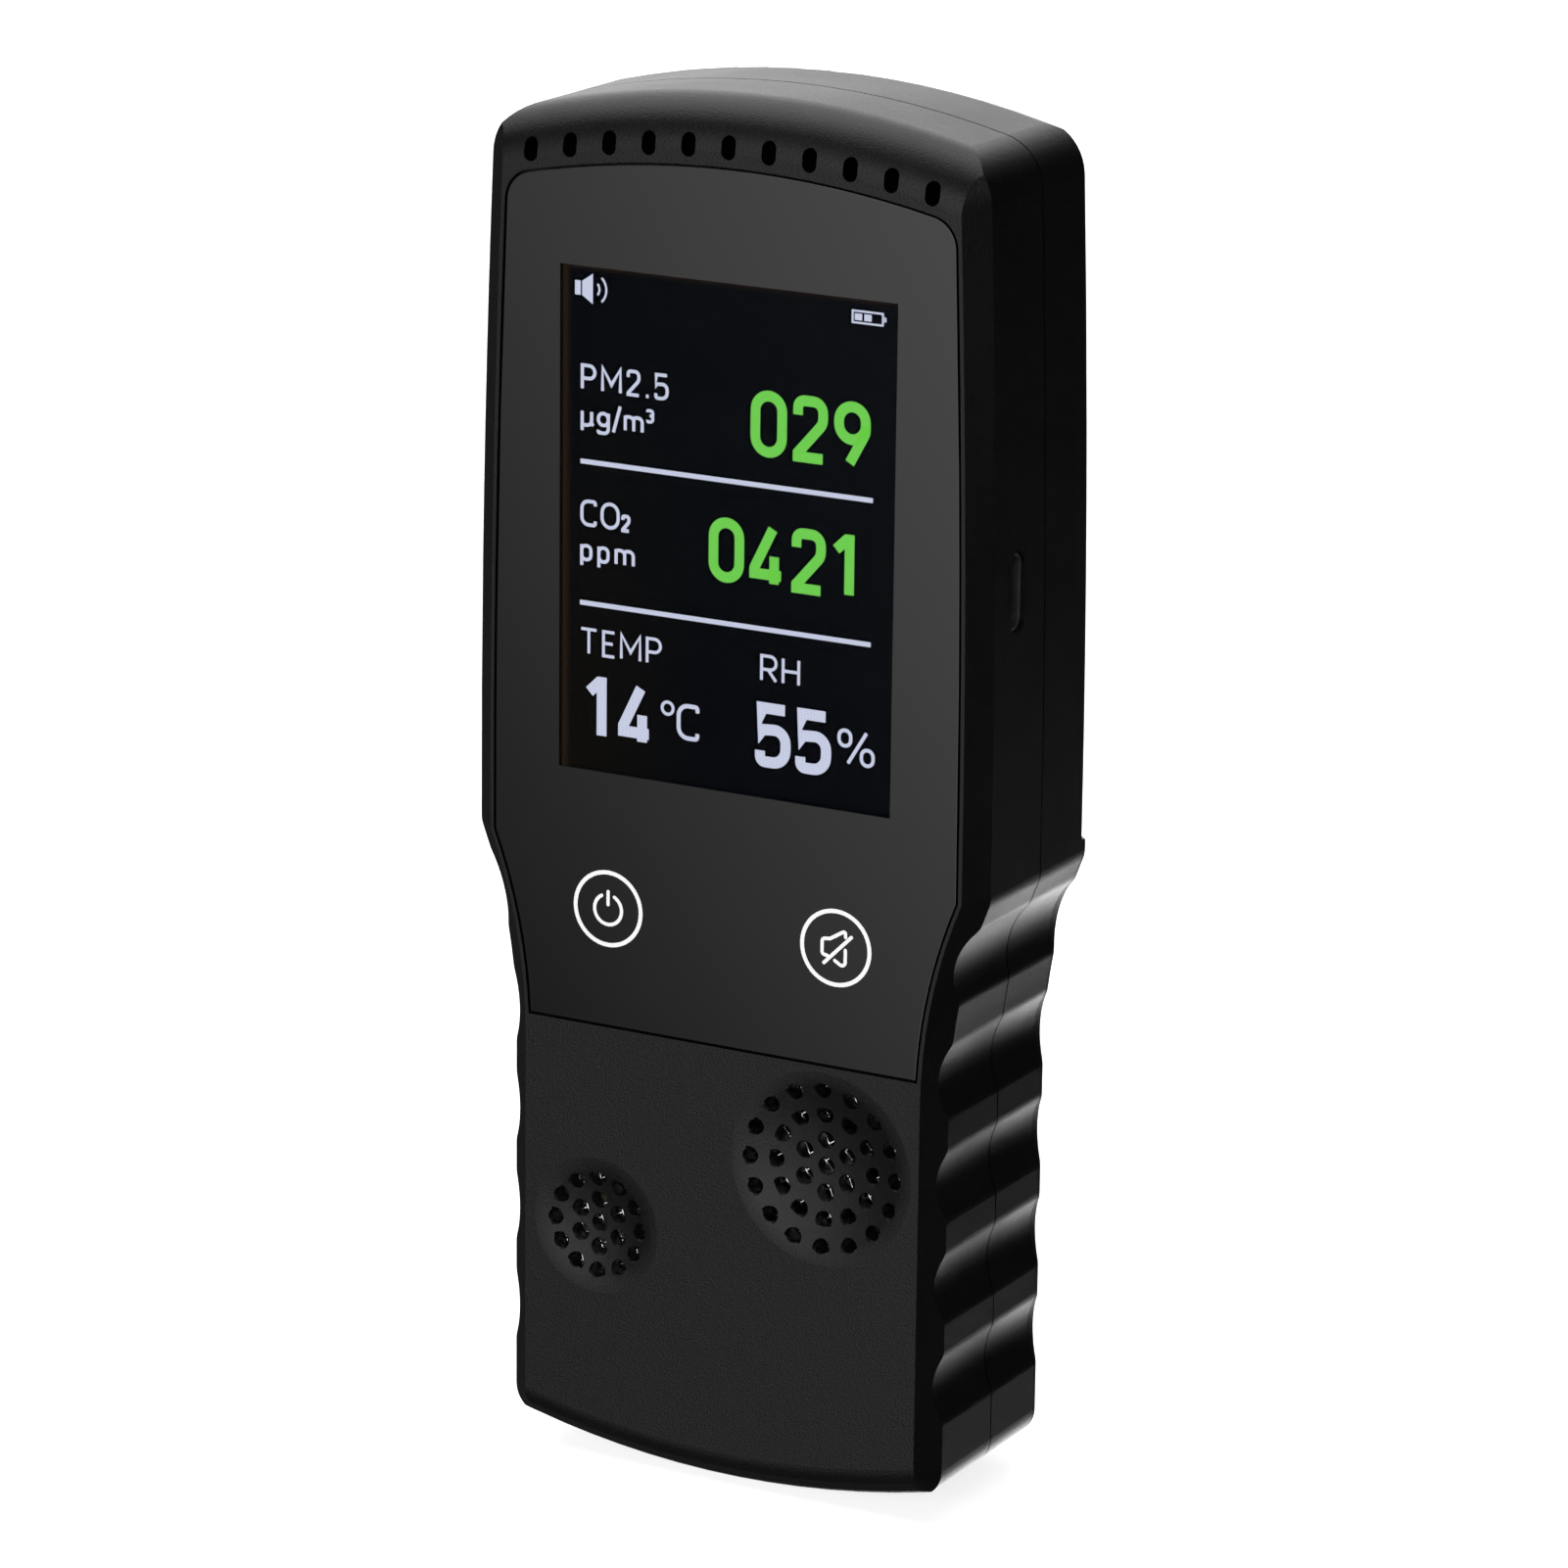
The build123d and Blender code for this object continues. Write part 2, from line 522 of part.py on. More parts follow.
# ---- Front shell ----
with BuildPart() as front_shell:
    add(case_form.part)
    split(bisect_by=at(SEAM_DEPTH), keep=Keep.TOP)
    add(cavity.part, mode=Mode.SUBTRACT)
    for axis, radius, _, back, _ in DISHES:
        with BuildSketch(at(back)):
            with Locations(axis):
                Circle(radius + GRILLE_MARGIN)
        extrude(amount=back - FACE_WALL + GRILLE_PAD_ROOT)
    with BuildSketch(at(VENT_PAD_DEPTH)):
        add(vent_band(VENT_PAD_MARGIN, VENT_PAD_MARGIN))
    extrude(amount=VENT_PAD_DEPTH - FACE_WALL + VENT_PAD_ROOT)
    with BuildSketch(at(SEAM_DEPTH)):
        with Locations(*BOSSES):
            Circle(BOSS_RADIUS)
    extrude(amount=SEAM_DEPTH - FACE_WALL)
    with BuildSketch(at(BOARD_DEPTH)):
        with Locations(*POSTS):
            Circle(POST_RADIUS)
    extrude(amount=BOARD_DEPTH - FACE_WALL)
    # lens pocket, display window and key holes
    with BuildSketch(at(POCKET_FLOOR)):
        add(lens_outline(0))
    extrude(amount=2 * POCKET_FLOOR, mode=Mode.SUBTRACT)
    with BuildSketch(at(VENT_PAD_DEPTH)):
        with Locations((0, CENTRE)):
            Rectangle(PANEL_WIDTH + 2 * PANEL_GAP, PANEL_HEIGHT + 2 * PANEL_GAP)
        with Locations(*KEYS):
            Circle(KEY_HOLE_RADIUS)
    extrude(amount=VENT_PAD_DEPTH, mode=Mode.SUBTRACT)
    # dishes and holes
    for axis, radius, dish, back, rings in DISHES:
        ball = (radius**2 + dish**2) / (2 * dish)
        with Locations(across(axis, dish - ball)):
            Sphere(ball, mode=Mode.SUBTRACT)
        circles = front_shell.edges().filter_by(GeomType.CIRCLE)
        fillet(circles.filter_by(lambda e: abs(e.radius - radius) < TOUCH), DISH_ROUND)
        for count, reach in rings:
            surface = dish - ball + (ball**2 - reach**2) ** 0.5
            with Locations(across(axis, surface)):
                with PolarLocations(reach, count, start_angle=90):
                    Cone(HOLE_RADIUS, HOLE_RADIUS + 2 * HOLE_EDGE, 2 * HOLE_EDGE, mode=Mode.SUBTRACT)
        with BuildSketch(at(back)):
            add(ring_holes(axis, rings))
        extrude(amount=2 * back, mode=Mode.SUBTRACT)
    with BuildSketch(at(VENT_PAD_DEPTH)):
        with Locations(*VENTS):
            SlotOverall(VENT_LENGTH, VENT_WIDTH, rotation=90)
    extrude(amount=2 * VENT_PAD_DEPTH, mode=Mode.SUBTRACT)
    # screw holes, from the seam and from the board
    with BuildSketch(at(SEAM_DEPTH)):
        with Locations(*BOSSES):
            Circle(CASE_SCREW_RADIUS + THREAD_GAP)
    extrude(amount=SEAM_DEPTH - CASE_SCREW_SEAT + CASE_SCREW_LENGTH + HOLE_SPARE, mode=Mode.SUBTRACT)
    with BuildSketch(at(BOARD_DEPTH)):
        with Locations(*POSTS):
            Circle(BOARD_SCREW_RADIUS + THREAD_GAP)
    extrude(amount=BOARD_SCREW_LENGTH - BOARD_THICKNESS + HOLE_SPARE, mode=Mode.SUBTRACT)
    # charging port in the side, and the line round the seam
    extrude(socket_outline(SOCKET_MOUTH - 2 * WALL, -SOCKET_GAP), amount=4 * WALL, mode=Mode.SUBTRACT)
    with BuildSketch(at(SEAM_DEPTH)):
        Rectangle(BIG, BIG)
        add(case_outline(SEAM_LINE_DEPTH, grooved=True), mode=Mode.SUBTRACT)
    extrude(amount=SEAM_LINE_WIDTH, mode=Mode.SUBTRACT)
front_shell.part.label = "front_shell"
export_step(front_shell.part, "parts/front_shell.step")


# ---- Rear shell ----
with BuildPart() as rear_shell:
    add(case_form.part)
    split(bisect_by=at(SEAM_DEPTH), keep=Keep.BOTTOM)
    add(cavity.part, mode=Mode.SUBTRACT)
    # locating lip inside the front shell, and its root on the rear shell's wall
    with BuildSketch(at(SEAM_DEPTH)):
        add(case_outline(WALL + FIT_GAP))
        add(case_outline(WALL + FIT_GAP + LIP_THICKNESS), mode=Mode.SUBTRACT)
        with Locations(*BOSSES):
            Circle(BOSS_RADIUS + BOSS_GAP, mode=Mode.SUBTRACT)
    extrude(amount=LIP_REACH)
    with BuildSketch(at(SEAM_DEPTH + LIP_REACH)):
        add(case_outline(WALL - FIT_GAP))
        add(case_outline(WALL + FIT_GAP + LIP_THICKNESS), mode=Mode.SUBTRACT)
    extrude(amount=LIP_REACH)
    with BuildSketch(at(PLATE_FACE)):
        with Locations(*BOSSES):
            Circle(REAR_BOSS_RADIUS)
    extrude(amount=PLATE_FACE - SEAM_DEPTH)
    with BuildSketch(at(HEAD_INNER)):
        with Locations(*TOP_BOSSES):
            Circle(REAR_BOSS_RADIUS)
    extrude(amount=HEAD_INNER - PLATE_FACE)
    # battery bay, its mouth and the notches that free the door's hooks
    with BuildSketch(at(PLATE_FACE)):
        with Locations((0, height(BAY_HEIGHT))):
            Rectangle(BAY_WIDTH + 2 * BAY_WALL, BAY_LENGTH + 2 * BAY_WALL)
    extrude(amount=PLATE_FACE - BAY_DEPTH + BAY_FLOOR)
    with BuildSketch(at(PLATE_FACE)):
        with Locations((0, height(BAY_HEIGHT))):
            Rectangle(BAY_WIDTH, BAY_LENGTH)
    extrude(amount=PLATE_FACE - BAY_DEPTH, mode=Mode.SUBTRACT)
    with BuildSketch(at(DOOR_FACE)):
        with Locations((0, height(BAY_HEIGHT))):
            Rectangle(MOUTH_WIDTH, BAY_LENGTH)
        with Locations(*[(0, level - DOOR_TRAVEL) for level in HOOK_LEVELS]):
            Rectangle(BAY_WIDTH, HOOK_WIDTH + 2 * NOTCH_SPARE)
    extrude(amount=DOOR_FACE - PLATE_FACE, mode=Mode.SUBTRACT)
    # screw holes and counterbores
    with BuildSketch(at(HEAD_BACK)):
        with Locations(*BOSSES):
            Circle(SCREW_HEAD_RADIUS + COUNTERBORE_GAP)
    extrude(amount=HEAD_BACK - CASE_SCREW_SEAT, mode=Mode.SUBTRACT)
    with BuildSketch(at(CASE_SCREW_SEAT)):
        with Locations(*BOSSES):
            Circle(CASE_SCREW_RADIUS + CLEARANCE_HOLE)
    extrude(amount=CASE_SCREW_SEAT - SEAM_DEPTH, mode=Mode.SUBTRACT)
rear_shell.part.label = "rear_shell"
export_step(rear_shell.part, "parts/rear_shell.step")

# ---- Battery door: slides down to free its hooks ----
DOOR_INNER = DOOR_FACE + FIT_GAP
DOOR_EDGE = height(DOOR_TOP) - DOOR_GAP
HOOK_TIP_FRONT = PLATE_FACE - FIT_GAP - HOOK_THICKNESS

with BuildPart() as battery_door:
    with BuildSketch(at(DEPTH)):
        add(GROOVED)
        with Locations((0, DOOR_EDGE - BIG / 2)):
            Rectangle(BIG, BIG, mode=Mode.INTERSECT)
    extrude(amount=DEPTH - DOOR_INNER)
    add(DOOR_BACK_LIMIT, mode=Mode.INTERSECT)
    add(disc(BOTTOM_RADIUS, BOTTOM, 0, DEPTH, 0, BOTTOM_TO_BACK_ROUND), mode=Mode.INTERSECT)
    top_edges = battery_door.faces().sort_by(Axis.Z)[-1].edges().sort_by(Axis.Y)
    fillet(top_edges[-1], DOOR_EDGE_ROUND)
    with BuildSketch(at(DEPTH - DOOR_SKIN)):
        add(case_outline(DOOR_RIM))
        with Locations((0, DOOR_EDGE - DOOR_RIM - BIG / 2)):
            Rectangle(BIG, BIG, mode=Mode.INTERSECT)
    extrude(amount=DOOR_THICKNESS, mode=Mode.SUBTRACT)
    # hooks that reach through the mouth and under the plate's edges
    for level in HOOK_LEVELS:
        for side in (1, -1):
            with BuildSketch(at(DEPTH - DOOR_SKIN)):
                with Locations((side * (HOOK_X - HOOK_THICKNESS / 2), level)):
                    Rectangle(HOOK_THICKNESS, HOOK_WIDTH)
            extrude(amount=DEPTH - DOOR_SKIN - HOOK_TIP_FRONT)
            with BuildSketch(at(PLATE_FACE - FIT_GAP)):
                with Locations((side * (HOOK_X + (HOOK_LIP - HOOK_THICKNESS) / 2), level)):
                    Rectangle(HOOK_THICKNESS + HOOK_LIP, HOOK_WIDTH)
            extrude(amount=HOOK_THICKNESS)
    # thumb recess with its ridges
    THUMB_LEVEL = DOOR_EDGE - THUMB_BELOW_TOP
    with BuildSketch(at(DEPTH)):
        with Locations((0, THUMB_LEVEL)):
            SlotOverall(THUMB_WIDTH, THUMB_HEIGHT)
            for row in range(THUMB_RIDGES):
                level = (row - (THUMB_RIDGES - 1) / 2) * THUMB_HEIGHT / (THUMB_RIDGES + 1)
                with Locations((0, level)):
                    SlotOverall(THUMB_WIDTH / 2, THUMB_RIDGE, mode=Mode.SUBTRACT)
    extrude(amount=THUMB_DEPTH, mode=Mode.SUBTRACT)
battery_door.part.label = "battery_door"
export_step(battery_door.part, "parts/battery_door.step")

# ---- Display stack: lens, tape, panel, backlight, holder, flex ----
with BuildPart() as display_lens:
    with BuildSketch(at(LENS_THICKNESS)):
        add(lens_outline(LENS_GAP))
    extrude(amount=LENS_THICKNESS)
display_lens.part.label = "display_lens"
export_step(display_lens.part, "parts/display_lens.step")

with BuildPart() as lens_tape:
    with BuildSketch(at(POCKET_FLOOR)):
        add(lens_outline(LENS_GAP + TAPE_INSET))
        with Locations((0, CENTRE)):
            Rectangle(VIEW_WIDTH + 2 * VIEW_MARGIN, VIEW_HEIGHT + 2 * VIEW_MARGIN, mode=Mode.SUBTRACT)
        with Locations(*KEYS):
            Circle(KEY_HOLE_RADIUS, mode=Mode.SUBTRACT)
    extrude(amount=TAPE_THICKNESS)
lens_tape.part.label = "lens_tape"
export_step(lens_tape.part, "parts/lens_tape.step")

PANEL_BACK = POCKET_FLOOR + PANEL_THICKNESS
BACKLIGHT_BACK = PANEL_BACK + BACKLIGHT_THICKNESS

with BuildPart() as lcd_panel:
    with BuildSketch(at(PANEL_BACK)):
        with Locations((0, CENTRE)):
            Rectangle(PANEL_WIDTH, PANEL_HEIGHT)
    extrude(amount=PANEL_THICKNESS)
lcd_panel.part.label = "lcd_panel"
export_step(lcd_panel.part, "parts/lcd_panel.step")

with BuildPart() as lcd_backlight:
    with BuildSketch(at(BACKLIGHT_BACK)):
        with Locations((0, CENTRE)):
            Rectangle(PANEL_WIDTH - 2 * BACKLIGHT_INSET, PANEL_HEIGHT - 2 * BACKLIGHT_INSET)
    extrude(amount=BACKLIGHT_THICKNESS)
lcd_backlight.part.label = "lcd_backlight"
export_step(lcd_backlight.part, "parts/lcd_backlight.step")

with BuildPart() as lcd_holder:
    with BuildSketch(at(BOARD_DEPTH)):
        with Locations((0, CENTRE)):
            Rectangle(PANEL_WIDTH, PANEL_HEIGHT)
            Rectangle(PANEL_WIDTH - 2 * HOLDER_RIM, PANEL_HEIGHT - 2 * HOLDER_RIM, mode=Mode.SUBTRACT)
    extrude(amount=BOARD_DEPTH - BACKLIGHT_BACK)
lcd_holder.part.label = "lcd_holder"
export_step(lcd_holder.part, "parts/lcd_holder.step")

PANEL_FOOT = CENTRE - PANEL_HEIGHT / 2

with BuildPart() as lcd_flex:
    with BuildSketch(at(BOARD_DEPTH)):
        with Locations((0, PANEL_FOOT - FLEX_THICKNESS / 2)):
            Rectangle(FLEX_WIDTH, FLEX_THICKNESS)
    extrude(amount=BOARD_DEPTH - POCKET_FLOOR - BACKLIGHT_INSET)
    with BuildSketch(at(BOARD_DEPTH)):
        with Locations((0, PANEL_FOOT - FLEX_FOOT / 2)):
            Rectangle(FLEX_WIDTH, FLEX_FOOT)
    extrude(amount=FLEX_THICKNESS)
lcd_flex.part.label = "lcd_flex"
export_step(lcd_flex.part, "parts/lcd_flex.step")

# ---- Main board and what it carries ----
with BuildPart() as main_board:
    with BuildSketch(at(BOARD_BACK)):
        add(case_outline(WALL + BOARD_SIDE_GAP))
        with Locations((0, height((BOARD_TOP + BOARD_BOTTOM) / 2))):
            Rectangle(BIG, BOARD_TOP - BOARD_BOTTOM, mode=Mode.INTERSECT)
        with Locations(*TOP_BOSSES, *MID_BOSSES):
            Circle(BOSS_RADIUS + BOARD_HOLE_GAP, mode=Mode.SUBTRACT)
        with Locations(*POSTS):
            Circle(BOARD_SCREW_RADIUS + CLEARANCE_HOLE, mode=Mode.SUBTRACT)
    extrude(amount=BOARD_THICKNESS)
main_board.part.label = "main_board"
export_step(main_board.part, "parts/main_board.step")


def on_board_back(x, level, width, length, thickness):
    """A rectangular block standing on the board's back."""
    with BuildPart() as block:
        with BuildSketch(at(BOARD_BACK + thickness)):
            with Locations((x, height(level))):
                Rectangle(width, length)
        extrude(amount=thickness)
    return block.part


with BuildPart() as microcontroller:
    add(on_board_back(0, CONTROLLER_LEVEL, CONTROLLER_SIZE, CONTROLLER_SIZE, CHIP_THICKNESS))
microcontroller.part.label = "microcontroller"
export_step(microcontroller.part, "parts/microcontroller.step")

with BuildPart() as board_chips:
    for x, level, width, length in CHIPS:
        add(on_board_back(x, level, width, length, CHIP_THICKNESS))
board_chips.part.label = "board_chips"
export_step(board_chips.part, "parts/board_chips.step")

with BuildPart() as board_connectors:
    for x, level, width, length in CONNECTORS:
        add(on_board_back(x, level, width, length, CONNECTOR_HEIGHT))
board_connectors.part.label = "board_connectors"
export_step(board_connectors.part, "parts/board_connectors.step")

with BuildPart() as buzzer:
    with BuildSketch(at(BOARD_BACK + BUZZER_HEIGHT)):
        with Locations((BUZZER_PLACE[0], height(BUZZER_PLACE[1]))):
            Circle(BUZZER_RADIUS)
    extrude(amount=BUZZER_HEIGHT)
    with BuildSketch(at(BOARD_BACK + BUZZER_HEIGHT)):
        with Locations((BUZZER_PLACE[0], height(BUZZER_PLACE[1]))):
            Circle(BUZZER_PORT_RADIUS)
    extrude(amount=BUZZER_HEIGHT / 2, mode=Mode.SUBTRACT)
buzzer.part.label = "buzzer"
export_step(buzzer.part, "parts/buzzer.step")

with BuildPart() as humidity_sensor:
    with BuildSketch(at(BOARD_DEPTH)):
        with Locations((0, height(HUMIDITY_LEVEL))):
            Rectangle(HUMIDITY_SIZE, HUMIDITY_SIZE)
    extrude(amount=HUMIDITY_THICKNESS)
humidity_sensor.part.label = "humidity_sensor"
export_step(humidity_sensor.part, "parts/humidity_sensor.step")

with BuildPart() as touch_springs:
    with BuildSketch(at(BOARD_DEPTH)):
        with Locations(*KEYS):
            Circle(SPRING_RADIUS)
            Circle(SPRING_RADIUS - SPRING_WALL, mode=Mode.SUBTRACT)
    extrude(amount=BOARD_DEPTH - LENS_THICKNESS)
touch_springs.part.label = "touch_springs"
export_step(touch_springs.part, "parts/touch_springs.step")

# ---- Charging socket ----
with BuildPart() as usb_socket:
    extrude(socket_outline(SOCKET_MOUTH, 0), amount=-SOCKET_LENGTH)
    extrude(socket_outline(SOCKET_MOUTH, SOCKET_WALL), amount=SOCKET_BACK - SOCKET_LENGTH, mode=Mode.SUBTRACT)
usb_socket.part.label = "usb_socket"
export_step(usb_socket.part, "parts/usb_socket.step")

with BuildPart() as usb_tongue:
    tongue_length = SOCKET_LENGTH - SOCKET_BACK - TONGUE_SHORT
    tongue_middle = SOCKET_MOUTH - TONGUE_SHORT - tongue_length / 2
    with Locations((tongue_middle, FRONT + SOCKET_DEPTH, height(SOCKET_HEIGHT))):
        Box(tongue_length, TONGUE_THICKNESS, TONGUE_SPAN)
usb_tongue.part.label = "usb_tongue"
export_step(usb_tongue.part, "parts/usb_tongue.step")

# ---- Gauze behind the vents and the grilles ----
with BuildPart() as vent_gauze:
    with BuildSketch(at(VENT_PAD_DEPTH + GAUZE_THICKNESS)):
        add(vent_band(VENT_GAUZE_MARGIN, VENT_GAUZE_ENDS))
    extrude(amount=GAUZE_THICKNESS)
    add(cavity.part, mode=Mode.INTERSECT)
vent_gauze.part.label = "vent_gauze"
export_step(vent_gauze.part, "parts/vent_gauze.step")

with BuildPart() as large_gauze:
    with BuildSketch(at(PM_FRONT)):
        with Locations(LARGE_AXIS):
            Circle(LARGE_DISH_RADIUS + GRILLE_MARGIN - GAUZE_INSET)
    extrude(amount=GAUZE_THICKNESS)
large_gauze.part.label = "large_gauze"
export_step(large_gauze.part, "parts/large_gauze.step")

with BuildPart() as small_gauze:
    with BuildSketch(at(CO2_FRONT)):
        with Locations(SMALL_AXIS):
            Circle(SMALL_DISH_RADIUS + GRILLE_MARGIN - GAUZE_INSET)
    extrude(amount=GAUZE_THICKNESS)
small_gauze.part.label = "small_gauze"
export_step(small_gauze.part, "parts/small_gauze.step")

# ---- Particle sensor ----
PM_LID_FRONT = PM_BACK - PM_WALL
PM_INSIDE = PM_FRONT + PM_WALL
FAN_REAR = PM_INSIDE + FAN_THICKNESS

with BuildPart() as pm_sensor_case:
    with BuildSketch(at(PM_LID_FRONT)):
        with Locations(PM_AXIS):
            RectangleRounded(PM_WIDTH, PM_HEIGHT, PM_CORNER)
    extrude(amount=PM_LID_FRONT - PM_FRONT)
    with BuildSketch(at(PM_LID_FRONT)):
        with Locations(PM_AXIS):
            Rectangle(PM_WIDTH - 2 * PM_WALL, PM_HEIGHT - 2 * PM_WALL)
    extrude(amount=PM_LID_FRONT - PM_INSIDE, mode=Mode.SUBTRACT)
    with BuildSketch(at(PM_INSIDE)):
        with Locations(LARGE_AXIS):
            Circle(FAN_INTAKE_RADIUS)
    extrude(amount=2 * PM_WALL, mode=Mode.SUBTRACT)
pm_sensor_case.part.label = "pm_sensor_case"
export_step(pm_sensor_case.part, "parts/pm_sensor_case.step")

with BuildPart() as pm_sensor_lid:
    with BuildSketch(at(PM_BACK)):
        with Locations(PM_AXIS):
            RectangleRounded(PM_WIDTH, PM_HEIGHT, PM_CORNER)
    extrude(amount=PM_WALL)
pm_sensor_lid.part.label = "pm_sensor_lid"
export_step(pm_sensor_lid.part, "parts/pm_sensor_lid.step")

with BuildPart() as pm_board:
    with BuildSketch(at(PM_LID_FRONT)):
        with Locations(PM_AXIS):
            Rectangle(PM_WIDTH - 2 * (PM_WALL + PM_BOARD_GAP), PM_HEIGHT - 2 * (PM_WALL + PM_BOARD_GAP))
    extrude(amount=PM_BOARD_THICKNESS)
pm_board.part.label = "pm_board"
export_step(pm_board.part, "parts/pm_board.step")

with BuildPart() as laser_module:
    with BuildSketch(at(PM_INSIDE + LASER_THICKNESS)):
        with Locations((PM_AXIS[0], LARGE_AXIS[1] - LASER_BELOW_FAN)):
            Rectangle(LASER_WIDTH, LASER_HEIGHT)
    extrude(amount=LASER_THICKNESS)
laser_module.part.label = "laser_module"
export_step(laser_module.part, "parts/laser_module.step")

with BuildPart() as fan_frame:
    with BuildSketch(at(FAN_REAR)):
        with Locations(LARGE_AXIS):
            Rectangle(FAN_SIZE, FAN_SIZE)
    extrude(amount=FAN_THICKNESS)
    with BuildSketch(at(FAN_REAR - FAN_BACK)):
        with Locations(LARGE_AXIS):
            Circle(FAN_BORE_RADIUS)
    extrude(amount=FAN_THICKNESS, mode=Mode.SUBTRACT)
    with BuildSketch(at(FAN_REAR)):
        with Locations(LARGE_AXIS):
            Circle(FAN_SHAFT_RADIUS)
            with PolarLocations(FAN_VENT_PITCH_RADIUS, FAN_VENT_COUNT):
                Circle(FAN_VENT_RADIUS)
    extrude(amount=FAN_BACK, mode=Mode.SUBTRACT)
fan_frame.part.label = "fan_frame"
export_step(fan_frame.part, "parts/fan_frame.step")

with BuildPart() as fan_shaft:
    with BuildSketch(at(FAN_REAR)):
        with Locations(LARGE_AXIS):
            Circle(FAN_SHAFT_RADIUS)
    extrude(amount=FAN_THICKNESS - ROTOR_END_GAP)
fan_shaft.part.label = "fan_shaft"
export_step(fan_shaft.part, "parts/fan_shaft.step")

ROTOR_LENGTH = FAN_THICKNESS - FAN_BACK - 2 * ROTOR_END_GAP
ROTOR_MIDDLE = PM_INSIDE + ROTOR_END_GAP + ROTOR_LENGTH / 2
BLADE_REACH = ROTOR_RADIUS - ROTOR_HUB_RADIUS / 2

with BuildPart(across(LARGE_AXIS, ROTOR_MIDDLE)) as fan_rotor:
    with PolarLocations(ROTOR_RADIUS - BLADE_REACH / 2, BLADE_COUNT):
        Box(BLADE_REACH, 2 * ROTOR_LENGTH, BLADE_THICKNESS, rotation=(90 - BLADE_PITCH, 0, 0))
    Cylinder(ROTOR_RADIUS, ROTOR_LENGTH, mode=Mode.INTERSECT)
    Cylinder(ROTOR_HUB_RADIUS, ROTOR_LENGTH)
    Cylinder(FAN_SHAFT_RADIUS + FAN_SHAFT_GAP, 2 * ROTOR_LENGTH, mode=Mode.SUBTRACT)
fan_rotor.part.label = "fan_rotor"
export_step(fan_rotor.part, "parts/fan_rotor.step")

# ---- CO2 sensor: a metal can on its own board ----
with BuildPart() as co2_sensor:
    with BuildSketch(at(CO2_BACK)):
        with Locations(CO2_AXIS):
            RectangleRounded(CO2_WIDTH, CO2_HEIGHT, CO2_ROUND)
    extrude(amount=CO2_THICKNESS)
co2_sensor.part.label = "co2_sensor"
export_step(co2_sensor.part, "parts/co2_sensor.step")

with BuildPart() as co2_board:
    with BuildSketch(at(CO2_BACK + CO2_BOARD_THICKNESS)):
        with Locations(CO2_AXIS):
            Rectangle(CO2_WIDTH + 2 * CO2_BOARD_MARGIN, CO2_HEIGHT + 2 * CO2_BOARD_MARGIN)
    extrude(amount=CO2_BOARD_THICKNESS)
co2_board.part.label = "co2_board"
export_step(co2_board.part, "parts/co2_board.step")

# ---- Battery and its contacts ----
with BuildPart() as battery:
    with BuildSketch(Plane(origin=(0, FRONT + BAY_DEPTH + BATTERY_THICKNESS / 2, height(BAY_HEIGHT)))):
        RectangleRounded(BATTERY_WIDTH, BATTERY_THICKNESS, BATTERY_ROUND)
    extrude(amount=BATTERY_HEIGHT / 2, both=True)
battery.part.label = "battery"
export_step(battery.part, "parts/battery.step")

with BuildPart() as battery_contacts:
    contact_level = height(BAY_HEIGHT) + BATTERY_HEIGHT / 2 + BAY_END_GAP / 2
    for place in range(CONTACT_COUNT):
        x = (place - (CONTACT_COUNT - 1) / 2) * CONTACT_PITCH
        with Locations((x, FRONT + BAY_DEPTH + BATTERY_THICKNESS / 2, contact_level)):
            Box(CONTACT_WIDTH, CONTACT_WIDTH / 2, BAY_END_GAP)
battery_contacts.part.label = "battery_contacts"
export_step(battery_contacts.part, "parts/battery_contacts.step")


# ---- Screws ----
def screw(place, seat, shank, length, head, head_height):
    """A pan-head screw with a cross recess, its head at the back."""
    slot_length = 2 * head * DRIVE_SHARE
    with BuildPart() as body:
        with BuildSketch(at(seat + head_height)):
            with Locations(place):
                Circle(head)
        extrude(amount=head_height)
        with BuildSketch(at(seat)):
            with Locations(place):
                Circle(shank)
        extrude(amount=length)
        with BuildSketch(at(seat + head_height)):
            with Locations(place):
                Rectangle(slot_length, DRIVE_SLOT)
                Rectangle(DRIVE_SLOT, slot_length)
        extrude(amount=DRIVE_DEPTH, mode=Mode.SUBTRACT)
    return body.part


CASE_SCREW = (CASE_SCREW_RADIUS, CASE_SCREW_LENGTH, SCREW_HEAD_RADIUS, SCREW_HEAD_HEIGHT)
BOARD_SCREW = (BOARD_SCREW_RADIUS, BOARD_SCREW_LENGTH, BOARD_SCREW_HEAD_RADIUS, BOARD_SCREW_HEAD_HEIGHT)

with BuildPart() as case_screws:
    for place in BOSSES:
        add(screw(place, CASE_SCREW_SEAT, *CASE_SCREW))
case_screws.part.label = "case_screws"
export_step(case_screws.part, "parts/case_screws.step")

with BuildPart() as board_screws:
    for place in POSTS:
        add(screw(place, BOARD_BACK, *BOARD_SCREW))
board_screws.part.label = "board_screws"
export_step(board_screws.part, "parts/board_screws.step")
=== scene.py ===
"""Handheld air quality monitor: finishes, readout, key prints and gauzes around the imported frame."""

from __future__ import annotations

import logging
import math
from collections.abc import Iterable, Sequence
from dataclasses import dataclass, field
from enum import Enum

import bmesh
import bpy
from mathutils import Matrix, Vector

